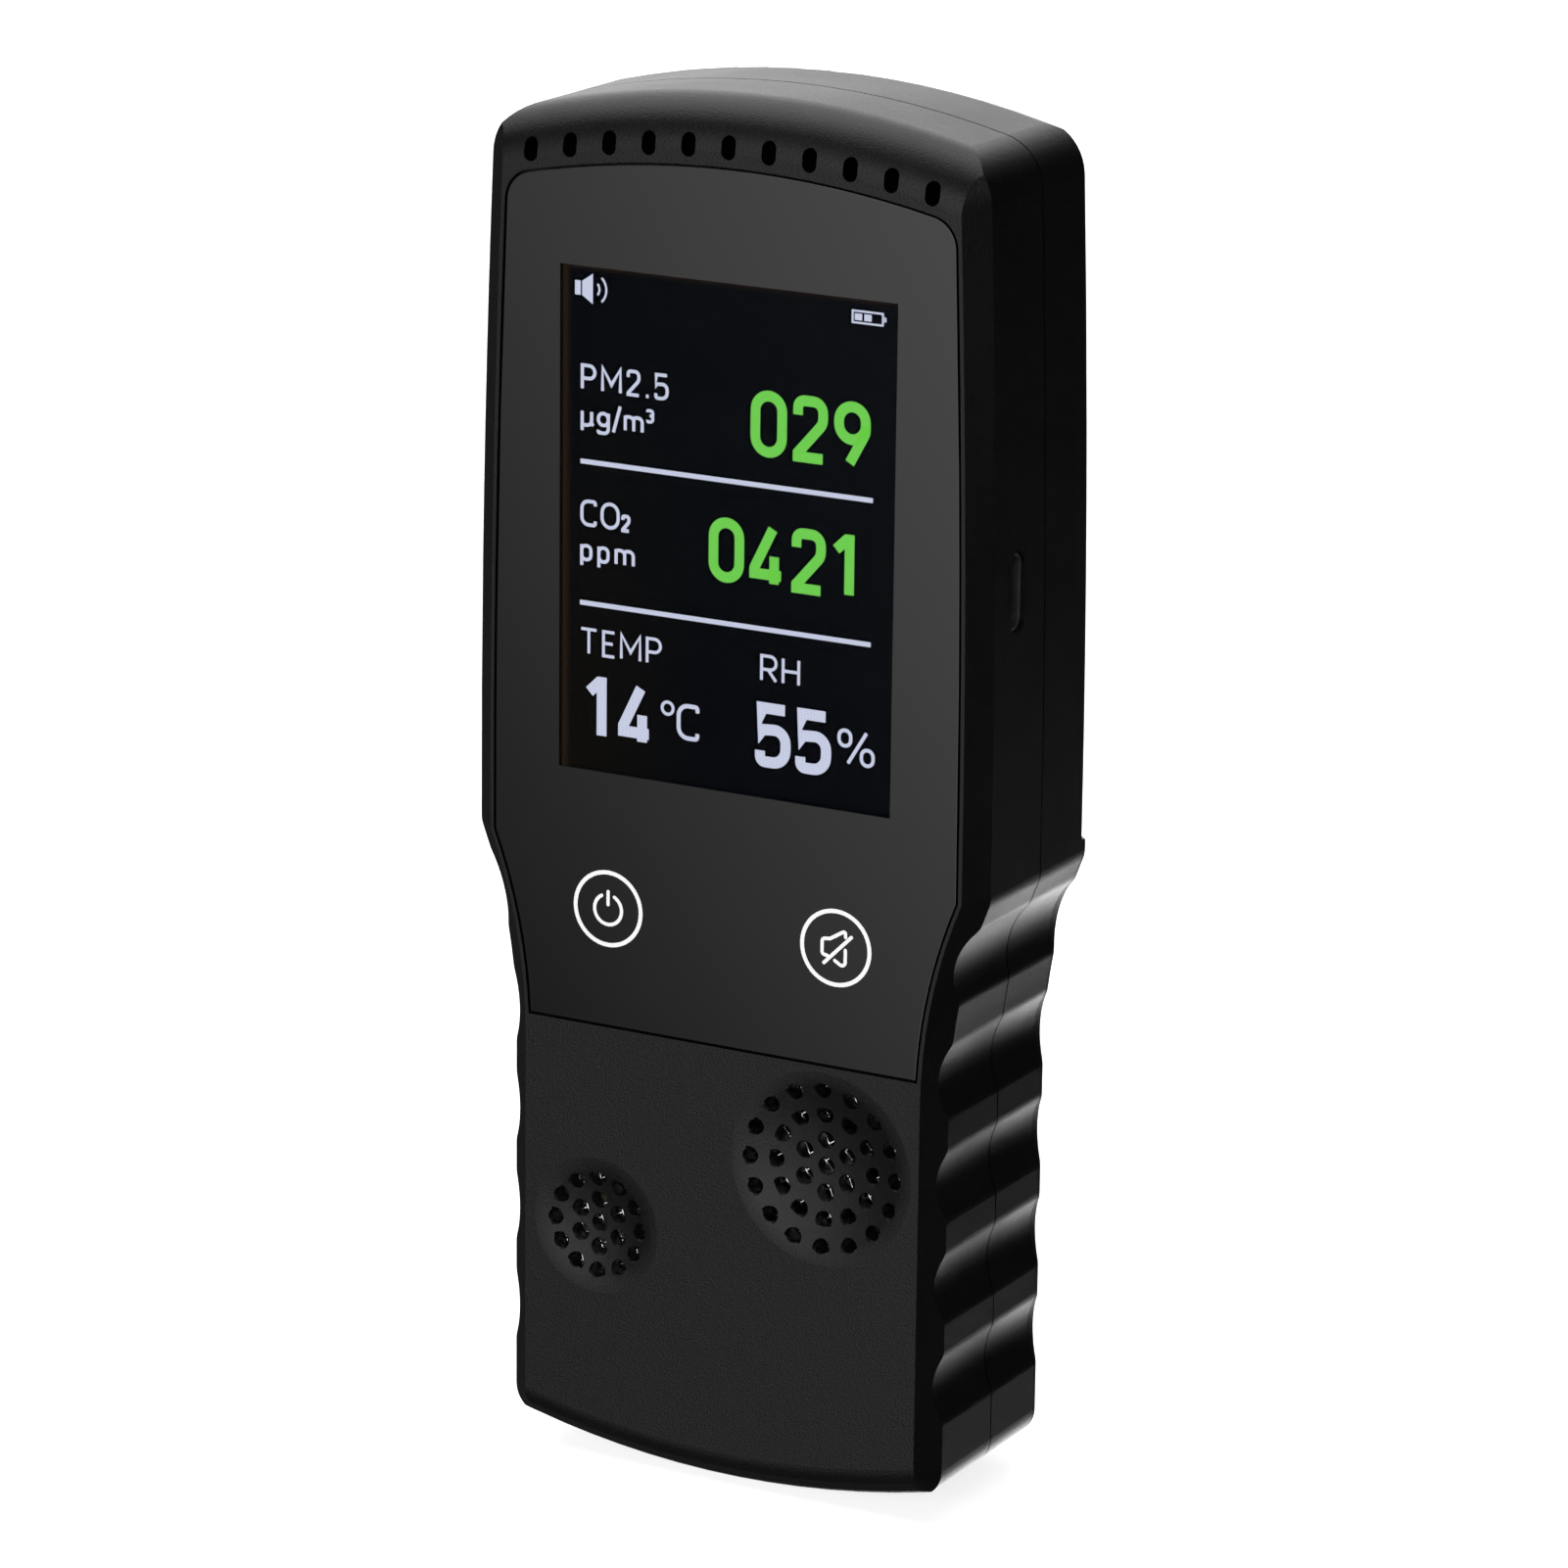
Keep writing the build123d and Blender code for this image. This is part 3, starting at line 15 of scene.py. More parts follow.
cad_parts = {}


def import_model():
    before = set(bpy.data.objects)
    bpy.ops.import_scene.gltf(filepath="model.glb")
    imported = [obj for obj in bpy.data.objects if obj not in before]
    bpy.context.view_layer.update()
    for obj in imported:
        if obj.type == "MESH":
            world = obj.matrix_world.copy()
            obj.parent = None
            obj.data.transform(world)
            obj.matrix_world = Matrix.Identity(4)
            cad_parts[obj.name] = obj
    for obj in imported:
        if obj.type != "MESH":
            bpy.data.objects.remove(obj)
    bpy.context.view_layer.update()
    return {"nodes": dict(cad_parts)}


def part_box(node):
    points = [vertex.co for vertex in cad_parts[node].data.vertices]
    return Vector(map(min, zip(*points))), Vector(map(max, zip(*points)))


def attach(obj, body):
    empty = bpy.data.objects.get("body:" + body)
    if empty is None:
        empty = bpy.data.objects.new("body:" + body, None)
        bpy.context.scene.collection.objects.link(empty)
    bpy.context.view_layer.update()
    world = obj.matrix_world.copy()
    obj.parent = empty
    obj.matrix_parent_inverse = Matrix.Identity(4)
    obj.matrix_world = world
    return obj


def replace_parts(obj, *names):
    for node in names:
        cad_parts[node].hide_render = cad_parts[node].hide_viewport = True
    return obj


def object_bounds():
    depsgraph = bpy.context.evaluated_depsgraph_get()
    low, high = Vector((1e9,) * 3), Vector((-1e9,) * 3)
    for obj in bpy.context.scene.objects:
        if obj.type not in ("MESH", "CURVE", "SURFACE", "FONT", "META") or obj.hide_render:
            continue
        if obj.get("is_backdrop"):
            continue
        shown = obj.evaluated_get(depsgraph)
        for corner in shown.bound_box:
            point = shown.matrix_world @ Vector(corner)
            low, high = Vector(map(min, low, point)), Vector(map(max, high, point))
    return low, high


log = logging.getLogger("air_monitor")

MM = 0.001
CASE = "case"
FRONT_NORMAL = Vector((0.0, -1.0, 0.0))
FRONT = 180.0
VIEW_WIDTH = 43.2
VIEW_HEIGHT = 58.8

Colour = tuple[float, float, float]
Corner = tuple[float, ...]


# ---- Shader wiring -------------------------------------------------------------------------


class Signal:
    """A socket of a node tree that takes part in Python arithmetic."""

    def __init__(self, wiring: "Wiring", socket: bpy.types.NodeSocket) -> None:
        """Keeps the socket and the wiring that new nodes go into.

        Args:
            wiring: The node tree's maker.
            socket: The output socket that carries the value.
        """
        self.wiring = wiring
        self.socket = socket

    def _math(self, operation: str, first: "Term", second: "Term") -> "Signal":
        """Adds one Math node.

        Args:
            operation: The Math node's operation.
            first: The left-hand term.
            second: The right-hand term.

        Returns:
            The node's result.
        """
        return self.wiring.node("ShaderNodeMath", {"operation": operation}, {0: first, 1: second})

    def __add__(self, other: "Term") -> "Signal":
        """Sum."""
        return self._math("ADD", self, other)

    def __radd__(self, other: "Term") -> "Signal":
        """Sum with a number on the left."""
        return self._math("ADD", other, self)

    def __sub__(self, other: "Term") -> "Signal":
        """Difference."""
        return self._math("SUBTRACT", self, other)

    def __rsub__(self, other: "Term") -> "Signal":
        """Difference from a number on the left."""
        return self._math("SUBTRACT", other, self)

    def __mul__(self, other: "Term") -> "Signal":
        """Product."""
        return self._math("MULTIPLY", self, other)

    def __rmul__(self, other: "Term") -> "Signal":
        """Product with a number on the left."""
        return self._math("MULTIPLY", other, self)

    def __truediv__(self, other: "Term") -> "Signal":
        """Quotient."""
        return self._math("DIVIDE", self, other)

    def __or__(self, other: "Term") -> "Signal":
        """The larger of two masks."""
        return self._math("MAXIMUM", self, other)

    def __abs__(self) -> "Signal":
        """Size without its sign."""
        return self._math("ABSOLUTE", self, 0.0)


Term = Signal | float


class Wiring:
    """Makes the nodes of one node tree."""

    def __init__(self, tree: bpy.types.NodeTree) -> None:
        """Empties the tree.

        Args:
            tree: The node tree to fill.
        """
        self.tree = tree
        tree.nodes.clear()

    def node(
        self, kind: str, settings: dict | None = None, inputs: dict | None = None, output: int | str = 0
    ) -> Signal | None:
        """Makes any node: its settings first, then the values or links of its sockets.

        Args:
            kind: The node's type.
            settings: The node's own properties, or "stops" for a colour ramp.
            inputs: A value or a Signal for each named or numbered socket.
            output: The socket to hand back.

        Returns:
            The chosen output as a Signal, or None from a node that has no outputs.
        """
        made = self.tree.nodes.new(kind)
        for name, value in (settings or {}).items():
            if name == "stops":
                self._set_stops(made.color_ramp, value)
            else:
                setattr(made, name, value)
        for name, value in (inputs or {}).items():
            socket = made.inputs[name]
            if isinstance(value, Signal):
                self.tree.links.new(value.socket, socket)
            elif socket.type == "RGBA" and len(value) == 3:
                socket.default_value = (*value, 1.0)
            else:
                socket.default_value = value
        return Signal(self, made.outputs[output]) if made.outputs else None

    @staticmethod
    def _set_stops(ramp: bpy.types.ColorRamp, stops: Sequence[tuple[float, float]]) -> None:
        """Sets a ramp's grey stops.

        Args:
            ramp: The ramp to set.
            stops: Each stop's position and its grey.
        """
        while len(ramp.elements) < len(stops):
            ramp.elements.new(0.5)
        for element, (position, grey) in zip(ramp.elements, stops):
            element.position = position
            element.color = (grey, grey, grey, 1.0)

    def place(self) -> Signal:
        """The point in the piece's own frame, in metres."""
        return self.node("ShaderNodeTexCoord", output="Object")

    def axes(self, vector: Signal) -> tuple[Signal, Signal, Signal]:
        """Splits a vector.

        Args:
            vector: The vector to split.

        Returns:
            Its X, Y and Z.
        """
        split = self.node("ShaderNodeSeparateXYZ", inputs={0: vector}).socket.node
        return tuple(Signal(self, socket) for socket in split.outputs)

    def noise(self, grain: float, detail: float = 2.0, rough: float = 0.5) -> Signal:
        """Cloudy noise from 0 to 1.

        Args:
            grain: Size of its largest blobs, in millimetres.
            detail: Number of finer layers.
            rough: Weight of the finer layers.

        Returns:
            The noise.
        """
        inputs = {"Vector": self.place(), "Scale": 1.0 / (grain * MM), "Detail": detail, "Roughness": rough}
        return self.node("ShaderNodeTexNoise", inputs=inputs)

    def ramp(self, value: Signal, stops: Sequence[tuple[float, float]]) -> Signal:
        """A grey ramp.

        Args:
            value: The value to look up.
            stops: Each stop's position and its grey.

        Returns:
            The grey.
        """
        return self.node("ShaderNodeValToRGB", {"stops": stops}, {0: value})

    def step(self, value: Signal, start: float, end: float) -> Signal:
        """A smooth step from 0 at start to 1 at end.

        Args:
            value: The value to look up.
            start: Where the step starts.
            end: Where it ends, on either side of start.

        Returns:
            The step.
        """
        inputs = {"Value": value, "From Min": start, "From Max": end}
        return self.node("ShaderNodeMapRange", {"interpolation_type": "SMOOTHSTEP"}, inputs)

    def blend(self, mask: Term, low: Colour, high: Colour | Signal) -> Signal:
        """A colour between two others.

        Args:
            mask: 0 gives low and 1 gives high.
            low: The first colour.
            high: The second colour.

        Returns:
            The colour.
        """
        inputs = {"Factor": mask, 6: low, 7: high}
        return self.node("ShaderNodeMix", {"data_type": "RGBA"}, inputs, 2)

    def tint(self, colour: Colour, strength: Signal) -> Signal:
        """A colour times a varying strength.

        Args:
            colour: The full colour.
            strength: How much of it.

        Returns:
            The colour.
        """
        return self.node("ShaderNodeVectorMath", {"operation": "SCALE"}, {0: colour, "Scale": strength})


class Recipe(Wiring):
    """One material."""

    def __init__(self, name: str) -> None:
        """Makes the empty material.

        Args:
            name: The material's name.
        """
        self.material = bpy.data.materials.new(name)
        self.material.use_nodes = True
        super().__init__(self.material.node_tree)

    def cell(self, along: Signal, pitch: float) -> Signal:
        """A row of cells with gaps between them.

        Args:
            along: The place along the row, in metres.
            pitch: From one cell to the next, in millimetres.

        Returns:
            1 on a cell and 0 in the gap beside it.
        """
        share = self.node("ShaderNodeMath", {"operation": "FRACT"}, {0: along / (pitch * MM)})
        return self.step(abs(share - 0.5), 0.45, 0.3)

    def wipe(self) -> Signal:
        """Faint marks of a cloth, from 0 to 1."""
        return self.ramp(self.noise(11.0, 5.0, 0.6), ((0.4, 0.0), (0.8, 1.0)))

    def bump(self, height: Signal, depth: float) -> Signal:
        """Surface relief.

        Args:
            height: The relief, from 0 to 1.
            depth: Its real depth, in millimetres.

        Returns:
            The shading normal.
        """
        inputs = {"Strength": 1.0, "Distance": depth * MM, "Height": height}
        return self.node("ShaderNodeBump", inputs=inputs)

    def finish(self, **sockets: Term | Colour) -> bpy.types.Material:
        """Sets the surface shader and closes the material.

        Args:
            **sockets: Values or Signals of the shader's sockets, with _ for a space.

        Returns:
            The material.
        """
        inputs = {name.replace("_", " "): value for name, value in sockets.items()}
        shader = self.node("ShaderNodeBsdfPrincipled", inputs=inputs)
        self.node("ShaderNodeOutputMaterial", inputs={"Surface": shader})
        return self.material


# ---- Finishes ------------------------------------------------------------------------------


@dataclass(frozen=True)
class MouldedPlastic:
    """Satin plastic from a spark-textured mould."""

    name: str
    colour: Colour
    roughness: float = 0.34
    grain: float = 0.24
    depth: float = 0.045
    sparkle: float = 0.2
    shine: float = 0.33

    def material(self) -> bpy.types.Material:
        """The finish as a material."""
        recipe = Recipe(self.name)
        fine = recipe.noise(self.grain, 3.0, 0.65)
        handling = recipe.ramp(recipe.noise(14.0, 4.0, 0.6), ((0.35, 0.0), (0.7, 1.0)))
        shade = 0.82 + 0.2 * fine + 0.16 * handling
        return recipe.finish(
            Base_Color=recipe.tint(self.colour, shade),
            Roughness=(self.roughness - self.sparkle / 2) + self.sparkle * fine + 0.05 * handling,
            Specular_IOR_Level=self.shine,
            Normal=recipe.bump(fine, self.depth),
        )


@dataclass(frozen=True)
class GlossPrint:
    """Clear plastic printed black on its back, with faint wipe marks."""

    name: str
    colour: Colour
    roughness: float = 0.04

    def material(self) -> bpy.types.Material:
        """The finish as a material."""
        recipe = Recipe(self.name)
        wipe = recipe.wipe()
        ripple = recipe.noise(24.0, 1.0)
        return recipe.finish(
            Base_Color=recipe.tint(self.colour, 0.85 + 0.3 * wipe),
            Roughness=self.roughness + 0.03 * wipe,
            Normal=recipe.bump(ripple, 0.004),
        )


@dataclass(frozen=True)
class ClearWindow:
    """The unprinted part of the lens, treated against glare."""

    name: str
    alpha: float = 0.04
    roughness: float = 0.09

    def material(self) -> bpy.types.Material:
        """The finish as a material."""
        recipe = Recipe(self.name)
        wipe = recipe.wipe()
        return recipe.finish(
            Base_Color=(0.002, 0.002, 0.003),
            Roughness=self.roughness + 0.05 * wipe,
            Alpha=self.alpha,
        )


@dataclass(frozen=True)
class ScreenGlass:
    """The liquid crystal panel, with a painted brown glow along its top and left edges."""

    name: str
    centre_height: float
    half_width: float = VIEW_WIDTH / 2
    half_height: float = VIEW_HEIGHT / 2
    # Width and colour of the painted brown glow along the panel's top and left edges.
    painted_glow_width: float = 0.9
    painted_glow_colour: Colour = (0.016, 0.010, 0.006)
    glow: Colour = (0.0003, 0.0007, 0.0016)
    warmth: Colour = (0.0030, 0.0026, 0.0018)

    def material(self) -> bpy.types.Material:
        """The finish as a material."""
        recipe = Recipe(self.name)
        across, _, up = recipe.axes(recipe.place())
        # Masks of the painted brown glow along the panel's left and top edges.
        left = recipe.step(across, (self.painted_glow_width - self.half_width) * MM, -self.half_width * MM)
        top_edge = self.centre_height + self.half_height
        top = recipe.step(up, (top_edge - self.painted_glow_width) * MM, top_edge * MM)
        low_left = recipe.step(across, 0.0, -self.half_width * MM) * recipe.step(up, top_edge * MM, 0.0)
        ground = recipe.blend(low_left, self.glow, self.warmth)
        return recipe.finish(
            Base_Color=recipe.tint((0.0008, 0.0008, 0.001), 0.7 + 0.6 * recipe.noise(5.0)),
            Roughness=0.6,
            Specular_IOR_Level=0.0,
            Emission_Color=recipe.blend(1.0 - (left | top), self.painted_glow_colour, ground),
            Emission_Strength=1.0,
        )


@dataclass(frozen=True)
class LitCells:
    """Lit cells of the screen, in rows and columns."""

    name: str
    colour: Colour
    pitch: float = 0.18
    gap_level: float = 0.55

    def material(self) -> bpy.types.Material:
        """The finish as a material."""
        recipe = Recipe(self.name)
        across, _, up = recipe.axes(recipe.place())
        cell = recipe.cell(across, self.pitch) * recipe.cell(up, self.pitch)
        level = self.gap_level + (1.0 - self.gap_level) * cell
        return recipe.finish(
            Base_Color=(0.0, 0.0, 0.0),
            Roughness=0.4,
            Emission_Color=recipe.tint(self.colour, level),
            Emission_Strength=1.0,
        )


@dataclass(frozen=True)
class ScreenPrint:
    """White ink of the touch keys, evenly lit from behind."""

    name: str
    colour: Colour = (0.9, 0.9, 0.9)
    glow: float = 0.45

    def material(self) -> bpy.types.Material:
        """The finish as a material."""
        recipe = Recipe(self.name)
        shade = 0.94 + 0.12 * recipe.noise(0.4)
        return recipe.finish(
            Base_Color=recipe.tint(self.colour, shade),
            Roughness=0.35,
            Emission_Color=recipe.tint(self.colour, shade),
            Emission_Strength=self.glow,
        )


@dataclass(frozen=True)
class Metal:
    """Drawn, stamped or turned metal, with fine scratches one way."""

    name: str
    colour: Colour
    roughness: float = 0.28
    scratch: float = 0.15

    def material(self) -> bpy.types.Material:
        """The finish as a material."""
        recipe = Recipe(self.name)
        stretch = {"Vector": recipe.place(), "Scale": (0.2, 1.0, 1.0)}
        drawn = recipe.node("ShaderNodeMapping", inputs=stretch)
        inputs = {"Vector": drawn, "Scale": 4000.0, "Detail": 2.0}
        lines = recipe.node("ShaderNodeTexNoise", inputs=inputs)
        stain = recipe.noise(3.0, 3.0)
        return recipe.finish(
            Base_Color=recipe.tint(self.colour, 0.85 + 0.25 * stain),
            Metallic=1.0,
            Roughness=(self.roughness - self.scratch / 2) + self.scratch * lines + 0.08 * stain,
            Normal=recipe.bump(lines, 0.003),
        )


@dataclass(frozen=True)
class CircuitBoard:
    """Solder mask over copper tracks, with bare rings round the vias."""

    name: str
    mask: Colour = (0.006, 0.045, 0.018)
    track: Colour = (0.012, 0.085, 0.035)
    pad: Colour = (0.72, 0.55, 0.28)
    pitch: float = 2.4

    def material(self) -> bpy.types.Material:
        """The finish as a material."""
        recipe = Recipe(self.name)
        inputs = {"Vector": recipe.place(), "Scale": 1.0 / (self.pitch * MM), "Randomness": 0.6}
        cells = recipe.node("ShaderNodeTexVoronoi", {"distance": "MANHATTAN"}, inputs)
        edges = recipe.node("ShaderNodeTexVoronoi", {"feature": "DISTANCE_TO_EDGE"}, inputs)
        tracks = recipe.step(edges, 0.11, 0.05)
        vias = recipe.step(cells, 0.16, 0.12)
        copper = recipe.blend(tracks, self.mask, self.track)
        return recipe.finish(
            Base_Color=recipe.blend(1.0 - vias, self.pad, copper),
            Metallic=vias,
            Roughness=0.42 - 0.12 * vias,
            Normal=recipe.bump(tracks, 0.03),
        )


@dataclass(frozen=True)
class Film:
    """Thin film or tape, slightly crinkled."""

    name: str
    colour: Colour
    roughness: float = 0.35
    crinkle: float = 0.05

    def material(self) -> bpy.types.Material:
        """The finish as a material."""
        recipe = Recipe(self.name)
        folds = recipe.noise(3.5, 4.0, 0.55)
        return recipe.finish(
            Base_Color=recipe.tint(self.colour, 0.88 + 0.24 * folds),
            Roughness=self.roughness + 0.1 * folds,
            Coat_Weight=0.2,
            Normal=recipe.bump(folds, self.crinkle),
        )


@dataclass(frozen=True)
class WovenNylon:
    """Fine black mesh behind the vents."""

    name: str
    colour: Colour = (0.0015, 0.0015, 0.0016)
    pitch: float = 0.25

    def material(self) -> bpy.types.Material:
        """The finish as a material."""
        recipe = Recipe(self.name)
        across, _, up = recipe.axes(recipe.place())
        threads = 1.0 - recipe.cell(across, self.pitch) * recipe.cell(up, self.pitch)
        return recipe.finish(
            Base_Color=recipe.tint(self.colour, 0.3 + 0.7 * threads),
            Roughness=0.9 - 0.2 * threads,
            Specular_IOR_Level=0.1,
            Normal=recipe.bump(threads, 0.05),
        )


class Tone(Enum):
    """The colours of the readout."""

    WHITE = "readout_white"
    GREEN = "readout_green"


# ---- Flat strokes for the readout and the key prints -----------------------------------------


def rounded(corners: Sequence[Corner], closed: bool) -> list[Vector]:
    """Follows corners, and goes round those that have a radius.

    Args:
        corners: Each corner's x, z and radius, if it has one.
        closed: True for a loop.

    Returns:
        The points of the path.
    """
    points = []
    count = len(corners)
    for index, corner in enumerate(corners):
        here = Vector(corner[:2])
        radius = corner[2] if len(corner) > 2 else 0.0
        if radius <= 0.0 or (not closed and index in (0, count - 1)):
            points.append(here)
            continue
        before = Vector(corners[index - 1][:2]) - here
        after = Vector(corners[(index + 1) % count][:2]) - here
        half = before.angle(after) / 2
        reach = min(radius / math.tan(half), 0.499 * before.length, 0.499 * after.length)
        size = reach * math.tan(half)
        bisector = (before.normalized() + after.normalized()).normalized()
        centre = here + bisector * (size / math.sin(half))
        start = before.normalized() * reach + here - centre
        end = after.normalized() * reach + here - centre
        turn = start.angle_signed(end)
        steps = max(3, round(abs(turn) / 0.22))
        for step in range(steps + 1):
            angle = -turn * step / steps
            points.append(centre + Matrix.Rotation(angle, 2) @ start)
    return points


def circle(x: float, z: float, radius: float, start: float = 0.0, end: float = 360.0) -> list[Corner]:
    """Points round a circle, or an arc of it.

    Args:
        x: Centre across.
        z: Centre height.
        radius: The radius.
        start: First angle in degrees, from the right towards the top.
        end: Last angle.

    Returns:
        The points.
    """
    steps = max(8, round((end - start) / 7.5))
    span = end - start
    count = steps if span == 360.0 else steps + 1
    angles = [math.radians(start + span * step / steps) for step in range(count)]
    return [(x + radius * math.cos(a), z + radius * math.sin(a)) for a in angles]


@dataclass(frozen=True)
class Stroke:
    """A line of constant width on a flat surface."""

    corners: Sequence[Corner]
    width: float
    closed: bool = False
    round_ends: bool = False

    def outline(self) -> list[tuple[Vector, Vector]]:
        """The left and right edge at each point of the path."""
        path = rounded(self.corners, self.closed)
        path = [p for index, p in enumerate(path) if index == 0 or (p - path[index - 1]).length > 1e-5]
        edges = []
        last = len(path) - 1
        for index, here in enumerate(path):
            before = path[index - 1] if index or self.closed else None
            after = path[(index + 1) % len(path)] if index < last or self.closed else None
            into = (here - before).normalized() if before is not None else (after - here).normalized()
            out = (after - here).normalized() if after is not None else into
            across = Vector((-(into.y + out.y), into.x + out.x)).normalized()
            lean = max(across.dot(Vector((-into.y, into.x))), 0.5)
            offset = across * (self.width / 2 / lean)
            edges.append((here + offset, here - offset))
        return edges


class Ink:
    """Gathers strokes and filled shapes into one thin mesh on a flat front surface."""

    def __init__(self, surface: float, thickness: float) -> None:
        """Starts an empty mesh.

        Args:
            surface: The surface's depth along Y, in metres.
            thickness: The layer's thickness, in millimetres.
        """
        self.mesh = bmesh.new()
        self.surface = surface
        self.thickness = thickness * MM

    def _point(self, place: Vector) -> Vector:
        """A point on top of the layer, from millimetres across and up."""
        return Vector((place.x * MM, self.surface - self.thickness, place.y * MM))

    def fill(self, corners: Iterable[Vector]) -> None:
        """Adds one filled outline.

        Args:
            corners: Its points in order, in millimetres.
        """
        top = [self.mesh.verts.new(self._point(Vector(corner))) for corner in corners]
        face = self.mesh.faces.new(top)
        face.normal_update()
        if face.normal.dot(FRONT_NORMAL) < 0:
            face.normal_flip()
        self._thicken([face])

    def draw(self, stroke: Stroke) -> None:
        """Adds one stroke.

        Args:
            stroke: The stroke, in millimetres.
        """
        edges = stroke.outline()
        rows = [[self.mesh.verts.new(self._point(side)) for side in pair] for pair in edges]
        pairs = list(zip(rows, rows[1:] + rows[:1]))
        faces = []
        for (left, right), (next_left, next_right) in pairs if stroke.closed else pairs[:-1]:
            faces.append(self.mesh.faces.new((left, right, next_right, next_left)))
        if stroke.round_ends and not stroke.closed:
            for row, edge, inward in ((rows[0], edges[0], edges[1]), (rows[-1], edges[-1], edges[-2])):
                faces.append(self._cap(row, edge, inward, stroke.width / 2))
        bmesh.ops.recalc_face_normals(self.mesh, faces=faces)
        if faces[0].normal.dot(FRONT_NORMAL) < 0:
            bmesh.ops.reverse_faces(self.mesh, faces=faces)
        self._thicken(faces)

    def _cap(
        self, row: list, edge: tuple[Vector, Vector], inward: tuple[Vector, Vector], radius: float
    ) -> bmesh.types.BMFace:
        """Rounds off one end of a stroke.

        Args:
            row: The end's two vertices.
            edge: Their places.
            inward: The places of the pair before them.
            radius: Half the stroke's width.

        Returns:
            The half-round face.
        """
        middle = (edge[0] + edge[1]) / 2
        outward = (middle - (inward[0] + inward[1]) / 2).normalized()
        side = (edge[0] - edge[1]).normalized()
        angles = [math.pi * step / 8 for step in range(1, 8)]
        arc = [middle + radius * (math.cos(a) * side + math.sin(a) * outward) for a in angles]
        return self.mesh.faces.new([row[0], *[self.mesh.verts.new(self._point(p)) for p in arc], row[1]])

    def _thicken(self, faces: list) -> None:
        """Gives new front faces their sides and back.

        Args:
            faces: The front faces.
        """
        made = bmesh.ops.extrude_face_region(self.mesh, geom=faces)
        moved = [item for item in made["geom"] if isinstance(item, bmesh.types.BMVert)]
        bmesh.ops.translate(self.mesh, verts=moved, vec=(0.0, self.thickness, 0.0))
        backs = [item for item in made["geom"] if isinstance(item, bmesh.types.BMFace)]
        bmesh.ops.reverse_faces(self.mesh, faces=backs)

    def piece(self, name: str, material: bpy.types.Material, slot: str) -> bpy.types.Object:
        """Closes the mesh into a piece that rides on the case.

        Args:
            name: The piece's name.
            material: Its finish.
            slot: The record's material slot; not used.

        Returns:
            The piece.
        """
        bmesh.ops.recalc_face_normals(self.mesh, faces=self.mesh.faces[:])
        return as_piece(self.mesh, name, [material])


def as_piece(
    mesh: bmesh.types.BMesh, name: str, materials: Sequence[bpy.types.Material]
) -> bpy.types.Object:
    """Turns a mesh in the frame's own axes into a piece on the case.

    Args:
        mesh: The mesh, freed afterwards.
        name: The piece's name.
        materials: Its finishes in slot order.

    Returns:
        The piece.
    """
    data = bpy.data.meshes.new(name)
    mesh.to_mesh(data)
    mesh.free()
    piece = bpy.data.objects.new(name, data)
    bpy.context.scene.collection.objects.link(piece)
    for material in materials:
        data.materials.append(material)
    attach(piece, CASE)
    log.info("built %s: %d faces", name, len(data.polygons))
    return piece


# ---- Glyphs of the readout -------------------------------------------------------------------


@dataclass(frozen=True)
class Glyph:
    """One sign, in a box from 0 to 1 both ways; tails go below 0. Radii are shares of the box's width."""

    width: float
    lines: tuple[tuple[Corner, ...], ...] = ()
    loops: tuple[tuple[Corner, ...], ...] = ()


def loop(left: float, low: float, right: float, high: float, radius: float = 0.5) -> tuple[Corner, ...]:
    """A closed rounded rectangle.

    Args:
        left: Its left side.
        low: Its foot.
        right: Its right side.
        high: Its top.
        radius: Its corners' radius.

    Returns:
        The corners.
    """
    return ((left, low, radius), (right, low, radius), (right, high, radius), (left, high, radius))


TWO = ((0, 0.74), (0, 1, 0.5), (1, 1, 0.5), (1, 0.62, 0.45), (0, 0.06), (0, 0), (1, 0))
FIVE = ((0.96, 1), (0.04, 1), (0.0, 0.52), (0.04, 0.59), (1, 0.63, 0.5), (1, 0, 0.5), (0, 0, 0.5), (0, 0.2))
BOWL = ((0, 0), (0, 1), (1, 1, 0.5), (1, 0.45, 0.5), (0, 0.45))
HOOK = ((1, 0.62), (1, -0.26, 0.4), (0, -0.26, 0.4), (0, -0.14))

